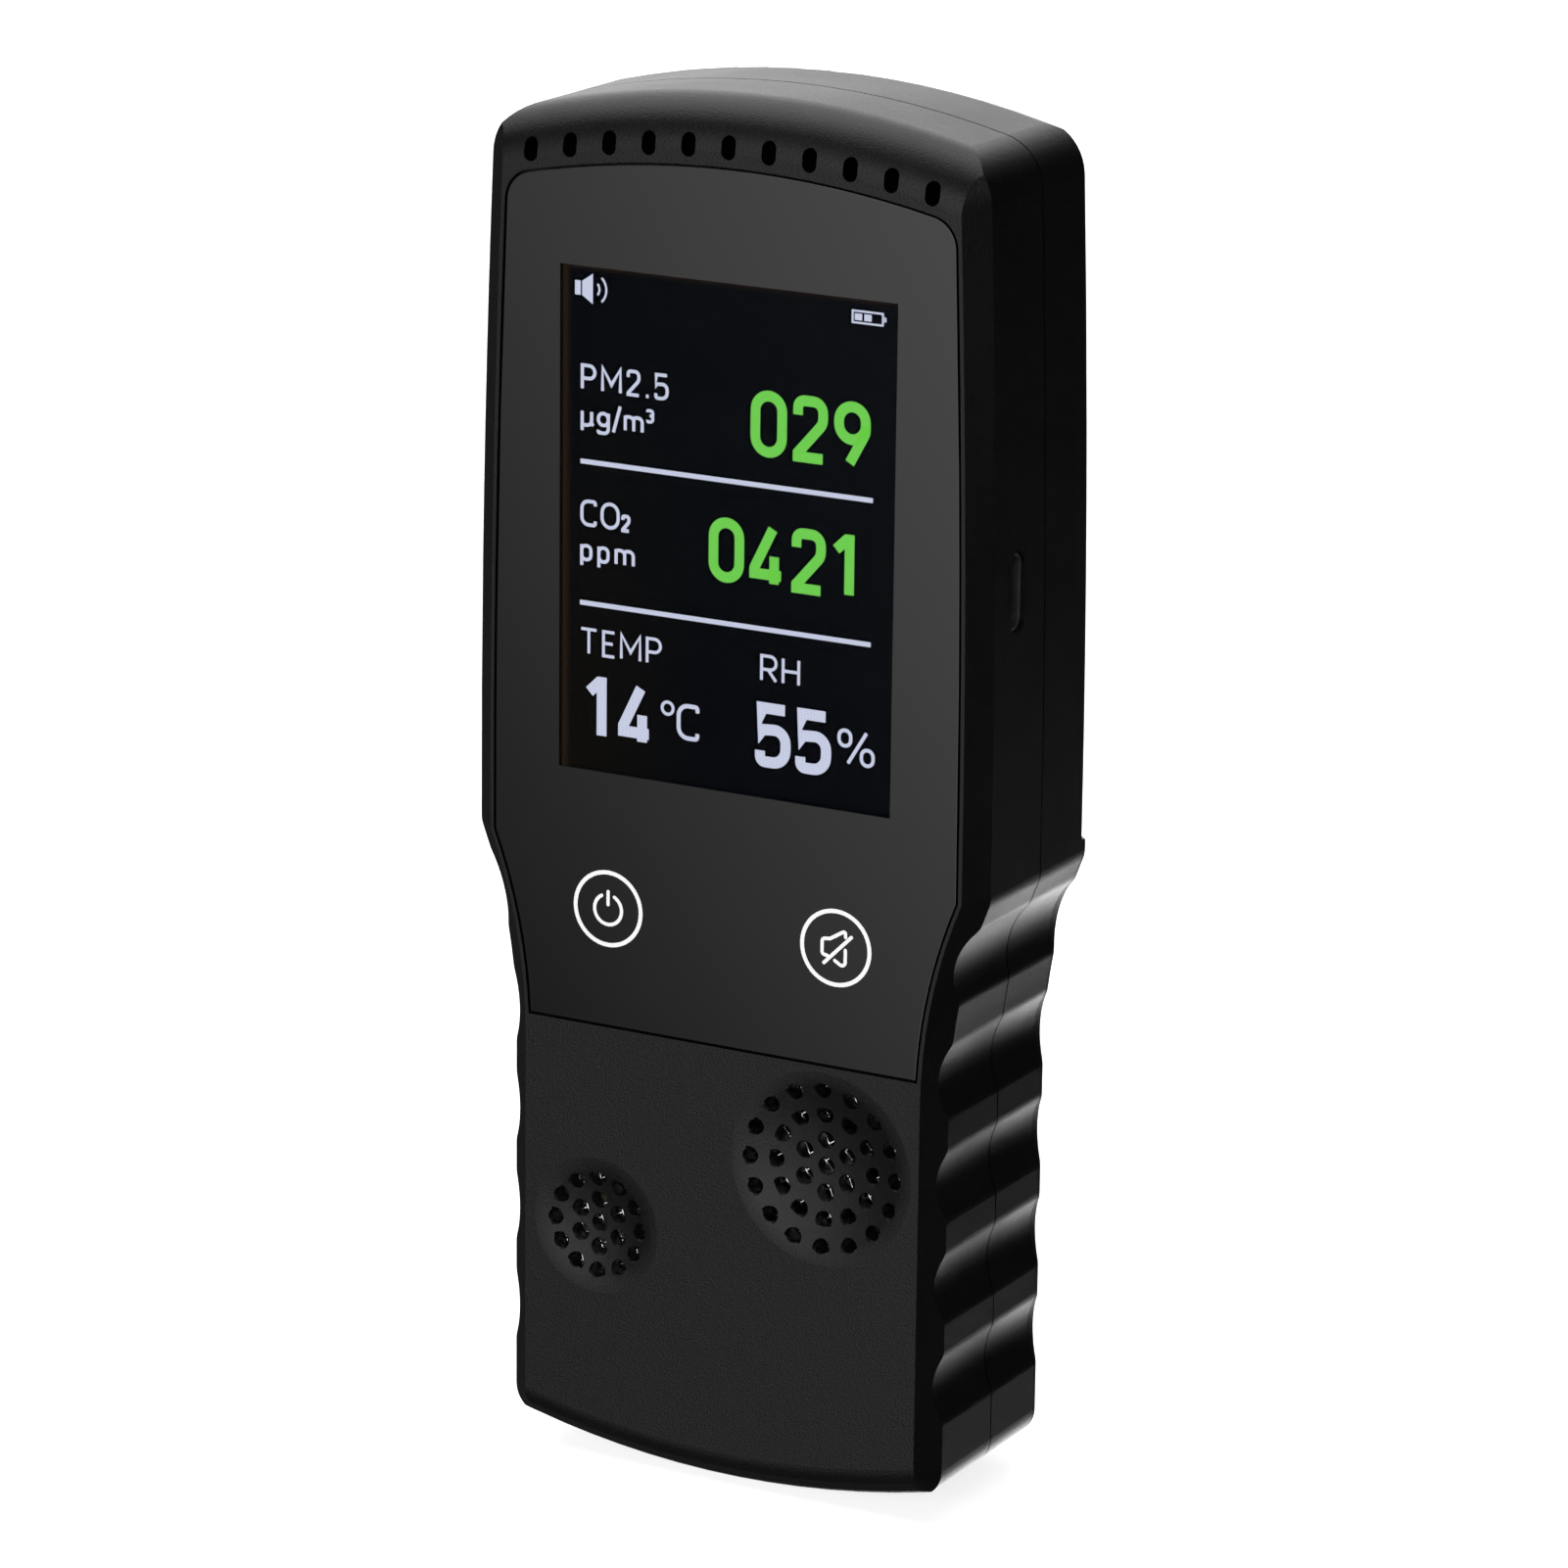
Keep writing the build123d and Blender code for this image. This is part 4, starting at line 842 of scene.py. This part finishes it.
GLYPHS = {
    "0": Glyph(0.605, loops=(loop(0, 0, 1, 1),)),
    "1": Glyph(0.385, lines=(((0, 0.80), (0.8, 1), (1, 1), (1, 0)),)),
    "2": Glyph(0.575, lines=(TWO,)),
    "4": Glyph(0.62, lines=(((0.68, 1), (0, 0.25), (0, 0.16), (1, 0.16)), ((0.74, 0.5), (0.74, 0)))),
    "5": Glyph(0.605, lines=(FIVE,)),
    "9": Glyph(0.6, lines=(((1, 0.7), (1, 0.56, 0.3), (0.42, 0)),), loops=(loop(0, 0.42, 1, 1),)),
    "P": Glyph(0.66, lines=(BOWL,)),
    "M": Glyph(0.88, lines=(((0, 0), (0, 1), (0.5, 0.3), (1, 1), (1, 0)),)),
    ".": Glyph(0.19, lines=(((-0.4, 0.02), (1.4, 0.02)),)),
    "C": Glyph(0.69, lines=(((1, 0.82), (1, 1, 0.5), (0, 1, 0.55), (0, 0, 0.55), (1, 0, 0.5), (1, 0.18)),)),
    "O": Glyph(0.8, loops=(loop(0, 0, 1, 1),)),
    "T": Glyph(0.74, lines=(((0, 1), (1, 1)), ((0.5, 1), (0.5, 0)))),
    "E": Glyph(0.56, lines=(((1, 1), (0, 1), (0, 0), (1, 0)), ((0, 0.52), (0.85, 0.52)))),
    "R": Glyph(0.7, lines=(BOWL, ((0.45, 0.45), (1, 0)))),
    "H": Glyph(0.74, lines=(((0, 0), (0, 1)), ((1, 0), (1, 1)), ((0, 0.5), (1, 0.5)))),
    "µ": Glyph(
        0.61,
        lines=(
            ((0, -0.24), (0, 0.6)),
            ((0, 0.2), (0, 0, 0.45), (0.85, 0, 0.45), (0.85, 0.6)),
            ((0.85, 0.1), (1, 0)),
        ),
    ),
    "g": Glyph(0.56, lines=(HOOK,), loops=(loop(0, 0.08, 1, 0.6),)),
    "/": Glyph(0.42, lines=(((0, -0.16), (1, 1.0)),)),
    "m": Glyph(
        0.86,
        lines=(
            ((0, 0), (0, 0.64)),
            ((0, 0.36), (0, 0.6, 0.3), (0.5, 0.6, 0.25), (0.5, 0)),
            ((0.5, 0.36), (0.5, 0.6, 0.3), (1, 0.6, 0.25), (1, 0)),
        ),
    ),
    "p": Glyph(0.52, lines=(((0, -0.26), (0, 0.64)),), loops=(loop(0, 0, 1, 0.6, 0.45),)),
    "3": Glyph(
        0.62,
        lines=(
            ((0, 0.86), (0, 1, 0.5), (1, 1, 0.5), (1, 0.54, 0.4), (0.4, 0.54)),
            ((0.4, 0.54), (1, 0.54, 0.4), (1, 0, 0.5), (0, 0, 0.5), (0, 0.16)),
        ),
    ),
    "°": Glyph(1.0, loops=(loop(0, 0, 1, 1),)),
    "%": Glyph(
        1.14,
        lines=(((0.27, 0), (0.8, 1)),),
        loops=(loop(0, 0.52, 0.34, 1, 0.17), loop(0.66, 0, 1, 0.48, 0.17)),
    ),
}


@dataclass(frozen=True)
class Line:
    """A line of signs on the screen. Places are in millimetres from the display's centre."""

    text: str
    left: float
    base: float
    cap_height: float
    pen: float
    gap: float
    tone: Tone = Tone.WHITE

    def write(self, ink: Ink, origin: Vector) -> None:
        """Draws the signs.

        Args:
            ink: The mesh to draw into.
            origin: The display's centre, in millimetres.
        """
        left = self.left
        for sign in self.text:
            glyph = GLYPHS[sign]
            width = glyph.width * self.cap_height
            inner_width, inner_height = width - self.pen, self.cap_height - self.pen
            start = Vector((left + self.pen / 2, self.base + self.pen / 2)) + origin

            def placed(corner: Corner) -> Corner:
                """One corner on the screen."""
                radius = corner[2] * inner_width if len(corner) > 2 else 0.0
                return (start.x + corner[0] * inner_width, start.y + corner[1] * inner_height, radius)

            for line in glyph.lines:
                ink.draw(Stroke([placed(corner) for corner in line], self.pen))
            for ring in glyph.loops:
                ink.draw(Stroke([placed(corner) for corner in ring], self.pen, closed=True))
            left += width + self.gap


# ---- Sub-assemblies ---------------------------------------------------------------------------


@dataclass
class Readout:
    """The picture on the screen: two measured values, temperature and humidity, and two status signs."""

    centre: Vector
    surface: float
    offset_x: float = -0.45
    offset_z: float = -0.25
    thickness: float = 0.03
    rule_left: float = -19.1
    rule_right: float = 18.65
    rule_heights: tuple[float, ...] = (6.8, -9.75)
    rule_width: float = 0.56
    lines: tuple[Line, ...] = (
        Line("PM2.5", -19.1, 15.05, 3.1, 0.4, 0.62),
        Line("µg/m", -19.1, 10.85, 3.05, 0.4, 0.27),
        Line("3", -10.5, 12.2, 1.65, 0.36, 0.2),
        Line("029", 3.0, 10.1, 7.65, 1.22, 0.8, Tone.GREEN),
        Line("CO", -19.1, -0.75, 3.15, 0.4, 0.5),
        Line("2", -13.7, -0.85, 2.1, 0.42, 0.2),
        Line("ppm", -19.1, -4.85, 3.1, 0.4, 0.66),
        Line("0421", -2.25, -5.0, 7.55, 1.22, 0.72, Tone.GREEN),
        Line("TEMP", -19.1, -15.85, 3.2, 0.36, 0.58),
        Line("RH", 4.55, -15.85, 3.2, 0.36, 0.55),
        Line("14", -18.45, -25.85, 7.6, 1.3, 1.55),
        Line("°", -8.35, -21.6, 1.8, 0.36, 0.0),
        Line("C", -6.25, -24.15, 4.3, 0.5, 0.0),
        Line("55", 4.0, -25.85, 7.6, 1.3, 0.62),
        Line("%", 14.6, -24.05, 4.2, 0.42, 0.0),
    )

    @property
    def origin(self) -> Vector:
        """Where the picture's centre is, in millimetres."""
        return Vector((self.centre.x / MM + self.offset_x, self.centre.z / MM + self.offset_z))

    def build(self, finishes: dict[Tone, bpy.types.Material]) -> None:
        """Makes one piece for each colour, and one for the status signs.

        Args:
            finishes: The finish of each tone.
        """
        names = {Tone.WHITE: "readout_labels", Tone.GREEN: "readout_values"}
        for tone, name in names.items():
            ink = Ink(self.surface, self.thickness)
            for line in self.lines:
                if line.tone is tone:
                    line.write(ink, self.origin)
            ink.piece(name, finishes[tone], "lcd_glass")
        self._rules().piece("readout_rules", finishes[Tone.WHITE], "lcd_glass")
        self._status().piece("readout_status", finishes[Tone.WHITE], "lcd_glass")

    def _rules(self) -> Ink:
        """The two lines between the values."""
        ink = Ink(self.surface, self.thickness)
        for level in self.rule_heights:
            ends = ((self.rule_left, level), (self.rule_right, level))
            ink.draw(Stroke([tuple(Vector(end) + self.origin) for end in ends], self.rule_width))
        return ink

    def _status(self) -> Ink:
        """The loudspeaker and the battery."""
        ink = Ink(self.surface, self.thickness)

        def box(left: float, low: float, right: float, high: float) -> list[Vector]:
            """A filled rectangle."""
            return [Vector(p) + self.origin for p in ((left, low), (right, low), (right, high), (left, high))]

        ink.fill(box(-19.9, 26.0, -19.15, 27.65))
        cone = ((-18.95, 26.0), (-17.55, 25.1), (-17.55, 28.6), (-18.95, 27.65))
        ink.fill([Vector(p) + self.origin for p in cone])
        for radius, spread in ((0.95, 42.0), (1.85, 48.0)):
            arc = circle(-17.65, 26.85, radius, -spread, spread)
            ink.draw(Stroke([tuple(Vector(p) + self.origin) for p in arc], 0.26))
        shell = ((15.75, 26.72), (19.55, 26.72), (19.55, 28.03), (15.75, 28.03))
        ink.draw(Stroke([tuple(Vector(p) + self.origin) for p in shell], 0.22, closed=True))
        ink.fill(box(19.74, 27.1, 19.98, 27.65))
        for left in (16.02, 17.22):
            ink.fill(box(left, 27.0, left + 0.92, 27.75))
        return ink


@dataclass
class Lens:
    """The display lens: printed black round a clear window, with two white touch keys."""

    centre: Vector
    view_width: float = VIEW_WIDTH
    view_height: float = VIEW_HEIGHT
    key_x: float = 14.95
    key_height: float = -45.62
    ring_radius: float = 4.35
    ring_pen: float = 0.5
    pen: float = 0.42
    print_thickness: float = 0.02
    edge_round: float = 0.12
    back_margin: float = 1.0

    def build(self, printed: bpy.types.Material, clear: bpy.types.Material, ink: bpy.types.Material) -> None:
        """Makes the lens and the key prints.

        Args:
            printed: The printed border's finish.
            clear: The window's finish.
            ink: The keys' finish.
        """
        self._plate(printed, clear)
        low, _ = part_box("display_lens")
        for side, name, symbol in ((-1, "power_key", self._power), (1, "mute_key", self._mute)):
            middle = Vector((self.centre.x / MM + side * self.key_x, self.centre.z / MM + self.key_height))
            drawing = Ink(low.y, self.print_thickness)
            drawing.draw(Stroke(circle(middle.x, middle.y, self.ring_radius), self.ring_pen, closed=True))
            for stroke in symbol(middle):
                drawing.draw(stroke)
            drawing.piece(name, ink, "lens_glass")

    def _plate(self, printed: bpy.types.Material, clear: bpy.types.Material) -> None:
        """Cuts the window's outline into a copy of the lens and softens its edge.

        Args:
            printed: The printed border's finish.
            clear: The window's finish.
        """
        mesh = bmesh.new()
        mesh.from_mesh(bpy.data.objects["display_lens"].data)
        bmesh.ops.remove_doubles(mesh, verts=mesh.verts[:], dist=1e-6)
        front = Vector((self.view_width / 2 * MM, 0.0, self.view_height / 2 * MM))
        back = front + Vector((self.back_margin * MM, 0.0, self.back_margin * MM))
        for half in (front, back):
            for axis in (Vector((1, 0, 0)), Vector((0, 0, 1))):
                for side in (-1, 1):
                    cut = self.centre + side * half.dot(axis) * axis
                    parts = mesh.verts[:] + mesh.edges[:] + mesh.faces[:]
                    bmesh.ops.bisect_plane(mesh, geom=parts, plane_co=cut, plane_no=axis)
        for face in mesh.faces:
            place = face.calc_center_median() - self.centre
            half = front if face.normal.y < 0 else back
            inside = abs(place.x) < half.x and abs(place.z) < half.z and abs(face.normal.y) > 0.5
            face.material_index = 1 if inside else 0
        bmesh.ops.dissolve_limit(
            mesh, angle_limit=0.01, verts=mesh.verts[:], edges=mesh.edges[:], delimit={"MATERIAL"}
        )
        lens = as_piece(mesh, "lens_plate", [printed, clear])
        bevel = lens.modifiers.new("edge", "BEVEL")
        bevel.width = self.edge_round * MM
        bevel.segments = 3
        bevel.limit_method = "ANGLE"
        bevel.angle_limit = math.radians(50)
        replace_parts(lens, "display_lens")

    def _power(self, middle: Vector) -> list[Stroke]:
        """The power sign.

        Args:
            middle: The key's centre, in millimetres.

        Returns:
            Its strokes.
        """
        arc = circle(middle.x, middle.y - 0.1, 1.8, 118.0, 422.0)
        bar = ((middle.x, middle.y + 0.5), (middle.x, middle.y + 2.05))
        return [Stroke(arc, self.pen, round_ends=True), Stroke(bar, self.pen, round_ends=True)]

    def _mute(self, middle: Vector) -> list[Stroke]:
        """A loudspeaker with a line through it.

        Args:
            middle: The key's centre, in millimetres.

        Returns:
            Its strokes.
        """
        box = ((-1.05, -1.05), (-1.75, -0.95, 0.4), (-1.75, 0.9, 0.4))
        upper = (*box, (-0.75, 1.0, 0.3), (1.25, 2.2, 0.5), (1.25, 1.45))
        lower = ((1.25, -0.1), (1.25, -2.3, 0.5), (-0.1, -1.5))
        slash = ((2.0, 1.55), (-1.5, -1.95))
        strokes = []
        for line in (upper, lower, slash):
            corners = [(middle.x + c[0], middle.y + c[1], *c[2:]) for c in line]
            strokes.append(Stroke(corners, self.pen, round_ends=True))
        return strokes


@dataclass
class Gauze:
    """Woven wire behind a grille."""

    node: str
    name: str
    pitch: float = 1.5
    wire: float = 0.34
    turn: float = 33.0
    margin: float = 0.3
    sides: int = 8
    shift: float = 0.4

    def build(self, material: bpy.types.Material) -> None:
        """Weaves the wires over the node's disc.

        Args:
            material: The wires' finish.
        """
        low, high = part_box(self.node)
        middle = (low + high) / 2
        radius = (high.x - low.x) / 2 - self.margin * MM
        mesh = bmesh.new()
        reach = int(radius / (self.pitch * MM))
        for direction in (0, 1):
            for index in range(-reach, reach + 1):
                off = (index + self.shift) * self.pitch * MM
                if abs(off) < radius:
                    phase = 1 if (index + direction) % 2 else -1
                    self._wire(mesh, middle, radius, off, direction, phase)
        bmesh.ops.recalc_face_normals(mesh, faces=mesh.faces[:])
        for face in mesh.faces:
            face.smooth = True
        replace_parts(as_piece(mesh, self.name, [material]), self.node)

    def _wire(
        self, mesh: bmesh.types.BMesh, middle: Vector, radius: float, off: float, direction: int, phase: int
    ) -> None:
        """One wire that goes over and under the ones it crosses.

        Args:
            mesh: The mesh to add to.
            middle: The disc's centre.
            radius: The disc's radius.
            off: The wire's distance from the centre.
            direction: 0 or 1 for warp or weft.
            phase: 1 if it starts over, -1 if under.
        """
        half = math.sqrt(radius**2 - off**2)
        steps = max(2, round(2 * half / (self.pitch * MM / 6)))
        turn = math.radians(self.turn + 90.0 * direction)
        along = Vector((math.cos(turn), 0.0, math.sin(turn)))
        across = Vector((-math.sin(turn), 0.0, math.cos(turn)))
        rings = []
        for step in range(steps + 1):
            s = -half + 2 * half * step / steps
            wave = math.cos(math.pi * (s / (self.pitch * MM) - self.shift)) * phase
            centre = middle + along * s + across * off + FRONT_NORMAL * (wave * self.wire / 2 * MM)
            ring = []
            for side in range(self.sides):
                angle = 2 * math.pi * side / self.sides
                spoke = across * math.cos(angle) + FRONT_NORMAL * math.sin(angle)
                ring.append(mesh.verts.new(centre + spoke * (self.wire / 2 * MM)))
            rings.append(ring)
        for first, second in zip(rings, rings[1:]):
            for side in range(self.sides):
                after = (side + 1) % self.sides
                mesh.faces.new((first[side], first[after], second[after], second[side]))
        mesh.faces.new(rings[0])
        mesh.faces.new(rings[-1])


@dataclass
class Interior:
    """The finishes of the pieces that stay as the frame has them."""

    finishes: dict[str, bpy.types.Material]

    def dress(self, nodes: dict[str, bpy.types.Object]) -> None:
        """Gives each node the finish of its material slot.

        Args:
            nodes: The frame's nodes.
        """
        for name, node in nodes.items():
            for slot in node.material_slots:
                wanted = slot.material.name.split(".")[0]
                slot.material = self.finishes[wanted]
            log.info("dressed %s", name)


def heading(azimuth: float, elevation: float) -> Vector:
    """A direction from the monitor.

    Args:
        azimuth: The angle round it in degrees; 0 is behind, 90 to its right and 180 in front.
        elevation: The angle above the floor, in degrees.

    Returns:
        The direction.
    """
    turn, rise = math.radians(azimuth), math.radians(elevation)
    return Vector((math.sin(turn) * math.cos(rise), math.cos(turn) * math.cos(rise), math.sin(rise)))


@dataclass(frozen=True)
class Glow:
    """A soft patch of the studio's surroundings, brighter or darker than the rest."""

    azimuth: float
    elevation: float
    inner: float
    outer: float
    level: float

    @property
    def axis(self) -> Vector:
        """The direction of its middle."""
        return heading(self.azimuth, self.elevation)


@dataclass
class Studio:
    """A pale floor and backdrop, soft surroundings, two soft lamps and the camera.

    The camera's azimuth is counted from the front towards the monitor's right.
    """

    azimuth: float = 28.784
    elevation: float = 15.63
    roll: float = 0.689
    distance: float = 751.1
    lens: float = 152.54
    aim: tuple[float, float, float] = (8.011, -14.2, 4.467)
    ambient: float = 0.08
    reach: float = 5.0
    bend: float = 4.0
    bend_steps: int = 10
    glows: tuple[Glow, ...] = (
        Glow(30.0, -10.0, 26.0, 50.0, 0.01),
        Glow(119.0, -16.0, 14.0, 38.0, 0.0),
        Glow(-62.0, -18.0, 10.0, 30.0, 0.06),
        Glow(-72.0, 62.0, 12.0, 36.0, 2.4),
        Glow(-30.0, 20.0, 10.0, 34.0, 1.85),
        Glow(76.0, 2.0, 6.0, 26.0, 0.7),
        Glow(-9.0, -34.0, 7.0, 21.0, 4.0),
        Glow(-177.0, 2.0, 21.0, 36.0, 2.1),
    )

    def build(self) -> None:
        """Sets the whole stage."""
        self._surroundings()
        self._floor()
        self._lamp("soft_box", Vector((0.1, 0.5, 1.1)), 0.9, 2.0)
        self._lamp("front_lamp", heading(147.0, 21.0) * 0.75, 0.12, 0.3)
        self._camera()
        settings = bpy.context.scene.view_settings
        settings.view_transform = "Standard"
        settings.look = "None"

    def _surroundings(self) -> None:
        """A dim smooth dome with soft patches of light in it; a later patch covers an earlier one."""
        world = bpy.data.worlds.new("studio")
        bpy.context.scene.world = world
        world.use_nodes = True
        wiring = Wiring(world.node_tree)
        direction = wiring.node("ShaderNodeTexCoord", output="Generated")
        light: Term = self.ambient
        for glow in self.glows:
            inputs = {0: direction, 1: glow.axis}
            facing = wiring.node("ShaderNodeVectorMath", {"operation": "DOT_PRODUCT"}, inputs, "Value")
            start, end = math.cos(math.radians(glow.outer)), math.cos(math.radians(glow.inner))
            light = light + (glow.level - light) * wiring.step(facing, start, end)
        background = wiring.node("ShaderNodeBackground", inputs={"Color": (1.0, 1.0, 1.0), "Strength": light})
        wiring.node("ShaderNodeOutputWorld", inputs={"Surface": background})

    def _floor(self) -> None:
        """A white floor under the monitor, which turns up into a round backdrop far away."""
        low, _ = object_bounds()
        mesh = bmesh.new()
        bmesh.ops.create_circle(mesh, cap_ends=True, cap_tris=True, segments=96, radius=self.reach)
        rim = [edge for edge in mesh.edges if edge.is_boundary]
        for step in range(1, self.bend_steps + 1):
            angle = 0.5 * math.pi * step / self.bend_steps
            made = bmesh.ops.extrude_edge_only(mesh, edges=rim)["geom"]
            rim = [item for item in made if isinstance(item, bmesh.types.BMEdge) and item.is_boundary]
            for vertex in {vertex for edge in rim for vertex in edge.verts}:
                outward = Vector(vertex.co.xy).normalized() * (self.reach + self.bend * math.sin(angle))
                vertex.co = Vector((outward.x, outward.y, self.bend * (1.0 - math.cos(angle))))
        data = bpy.data.meshes.new("floor")
        mesh.to_mesh(data)
        mesh.free()
        floor = bpy.data.objects.new("floor", data)
        floor.location.z = low.z
        bpy.context.scene.collection.objects.link(floor)
        recipe = Recipe("floor_paper")
        shade = 0.985 + 0.01 * recipe.noise(60.0)
        data.materials.append(
            recipe.finish(
                Base_Color=recipe.tint((1.0, 1.0, 1.0), shade),
                Roughness=0.9,
                Specular_IOR_Level=0.0,
                Emission_Color=(1.0, 1.0, 1.0),
                Emission_Strength=0.8,
            )
        )
        floor.visible_glossy = False
        floor.visible_diffuse = False
        floor.visible_shadow = False
        floor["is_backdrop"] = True

    def _lamp(self, name: str, place: Vector, size: float, power: float) -> None:
        """A square soft lamp that faces the monitor.

        Args:
            name: The lamp's name.
            place: Its place, in metres.
            size: Its side, in metres.
            power: Its power, in watts.
        """
        light = bpy.data.lights.new(name, "AREA")
        light.size = size
        light.energy = power
        lamp = bpy.data.objects.new(name, light)
        bpy.context.scene.collection.objects.link(lamp)
        lamp.location = place
        lamp.rotation_euler = (-place).to_track_quat("-Z", "Y").to_euler()

    def _camera(self) -> None:
        """The camera, looking down at the front from the right."""
        roll = math.radians(self.roll)
        back = heading(FRONT - self.azimuth, self.elevation)
        right = (-back).cross(Vector((0, 0, 1))).normalized()
        up = right.cross(-back)
        level_right = math.cos(roll) * right + math.sin(roll) * up
        level_up = math.cos(roll) * up - math.sin(roll) * right
        data = bpy.data.cameras.new("camera")
        data.lens = self.lens
        data.sensor_width = 36.0
        data.clip_start, data.clip_end = 0.05, 20.0
        camera = bpy.data.objects.new("camera", data)
        bpy.context.scene.collection.objects.link(camera)
        place = Vector(self.aim) * MM + back * (self.distance * MM)
        turned = Matrix((level_right, level_up, back)).transposed().to_4x4()
        camera.matrix_world = Matrix.Translation(place) @ turned
        bpy.context.scene.camera = camera


@dataclass
class Monitor:
    """The whole instrument: its finishes and its sub-assemblies."""

    display_below_top: float = 49.9
    black: Colour = (0.0022, 0.0022, 0.0023)
    nodes: dict[str, bpy.types.Object] = field(default_factory=dict)

    def _finishes(self) -> dict[str, bpy.types.Material]:
        """The finish of each of the record's material slots."""
        made = (
            MouldedPlastic("housing_plastic", self.black),
            MouldedPlastic("door_plastic", self.black, roughness=0.44),
            GlossPrint("lens_glass", (0.004, 0.004, 0.0042)),
            Film("tape", (0.01, 0.01, 0.01), 0.6),
            ScreenGlass("lcd_glass", self._centre().z / MM),
            MouldedPlastic("backlight_plastic", (0.75, 0.75, 0.73), 0.5, depth=0.004),
            MouldedPlastic("inner_plastic", (0.006, 0.006, 0.0063), 0.5),
            WovenNylon("mesh_nylon"),
            MouldedPlastic("rotor_plastic", (0.012, 0.012, 0.012), 0.35, depth=0.006),
            Film("flex_film", (0.28, 0.12, 0.03), 0.3),
            CircuitBoard("circuit_board"),
            MouldedPlastic("chip_plastic", (0.012, 0.012, 0.013), 0.55, grain=0.1, depth=0.004),
            Metal("spring_metal", (0.78, 0.66, 0.42), 0.3),
            Metal("socket_metal", (0.62, 0.62, 0.63), 0.3),
            Metal("gauze_metal", (0.62, 0.62, 0.64), 0.16, 0.08),
            # The sensor can's metal is made nearly black: painted shade that keeps the small grille's holes
            # dark.
            Metal("sensor_metal", (0.10, 0.09, 0.07), 0.45),
            Metal("steel", (0.16, 0.16, 0.17), 0.35),
            Film("battery_film", (0.02, 0.08, 0.2), 0.3),
        )
        return {finish.name: finish.material() for finish in made}

    def _centre(self) -> Vector:
        """The display's centre on the lens's front."""
        low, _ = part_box("display_lens")
        _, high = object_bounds()
        return Vector((0.0, low.y, high.z - self.display_below_top * MM))

    def build(self) -> None:
        """Dresses the frame and adds what the frame leaves out."""
        finishes = self._finishes()
        Interior(finishes).dress(self.nodes)
        tones = {
            Tone.WHITE: LitCells("readout_white", (0.72, 0.77, 0.98)).material(),
            Tone.GREEN: LitCells("readout_green", (0.17, 0.76, 0.07)).material(),
        }
        centre = self._centre()
        panel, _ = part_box("lcd_panel")
        Readout(centre, panel.y).build(tones)
        clear, ink = ClearWindow("lens_window").material(), ScreenPrint("key_print").material()
        Lens(centre).build(finishes["lens_glass"], clear, ink)
        Gauze("large_gauze", "large_grille_gauze").build(finishes["gauze_metal"])
        Gauze("small_gauze", "small_grille_gauze", turn=21.0, shift=0.25).build(finishes["gauze_metal"])


def main() -> None:
    """Builds the monitor and its studio round the frame."""
    logging.basicConfig(level=logging.INFO, format="%(message)s")
    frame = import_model()
    Studio().build()
    Monitor(nodes=frame["nodes"]).build()


if __name__ == "__main__":
    main()
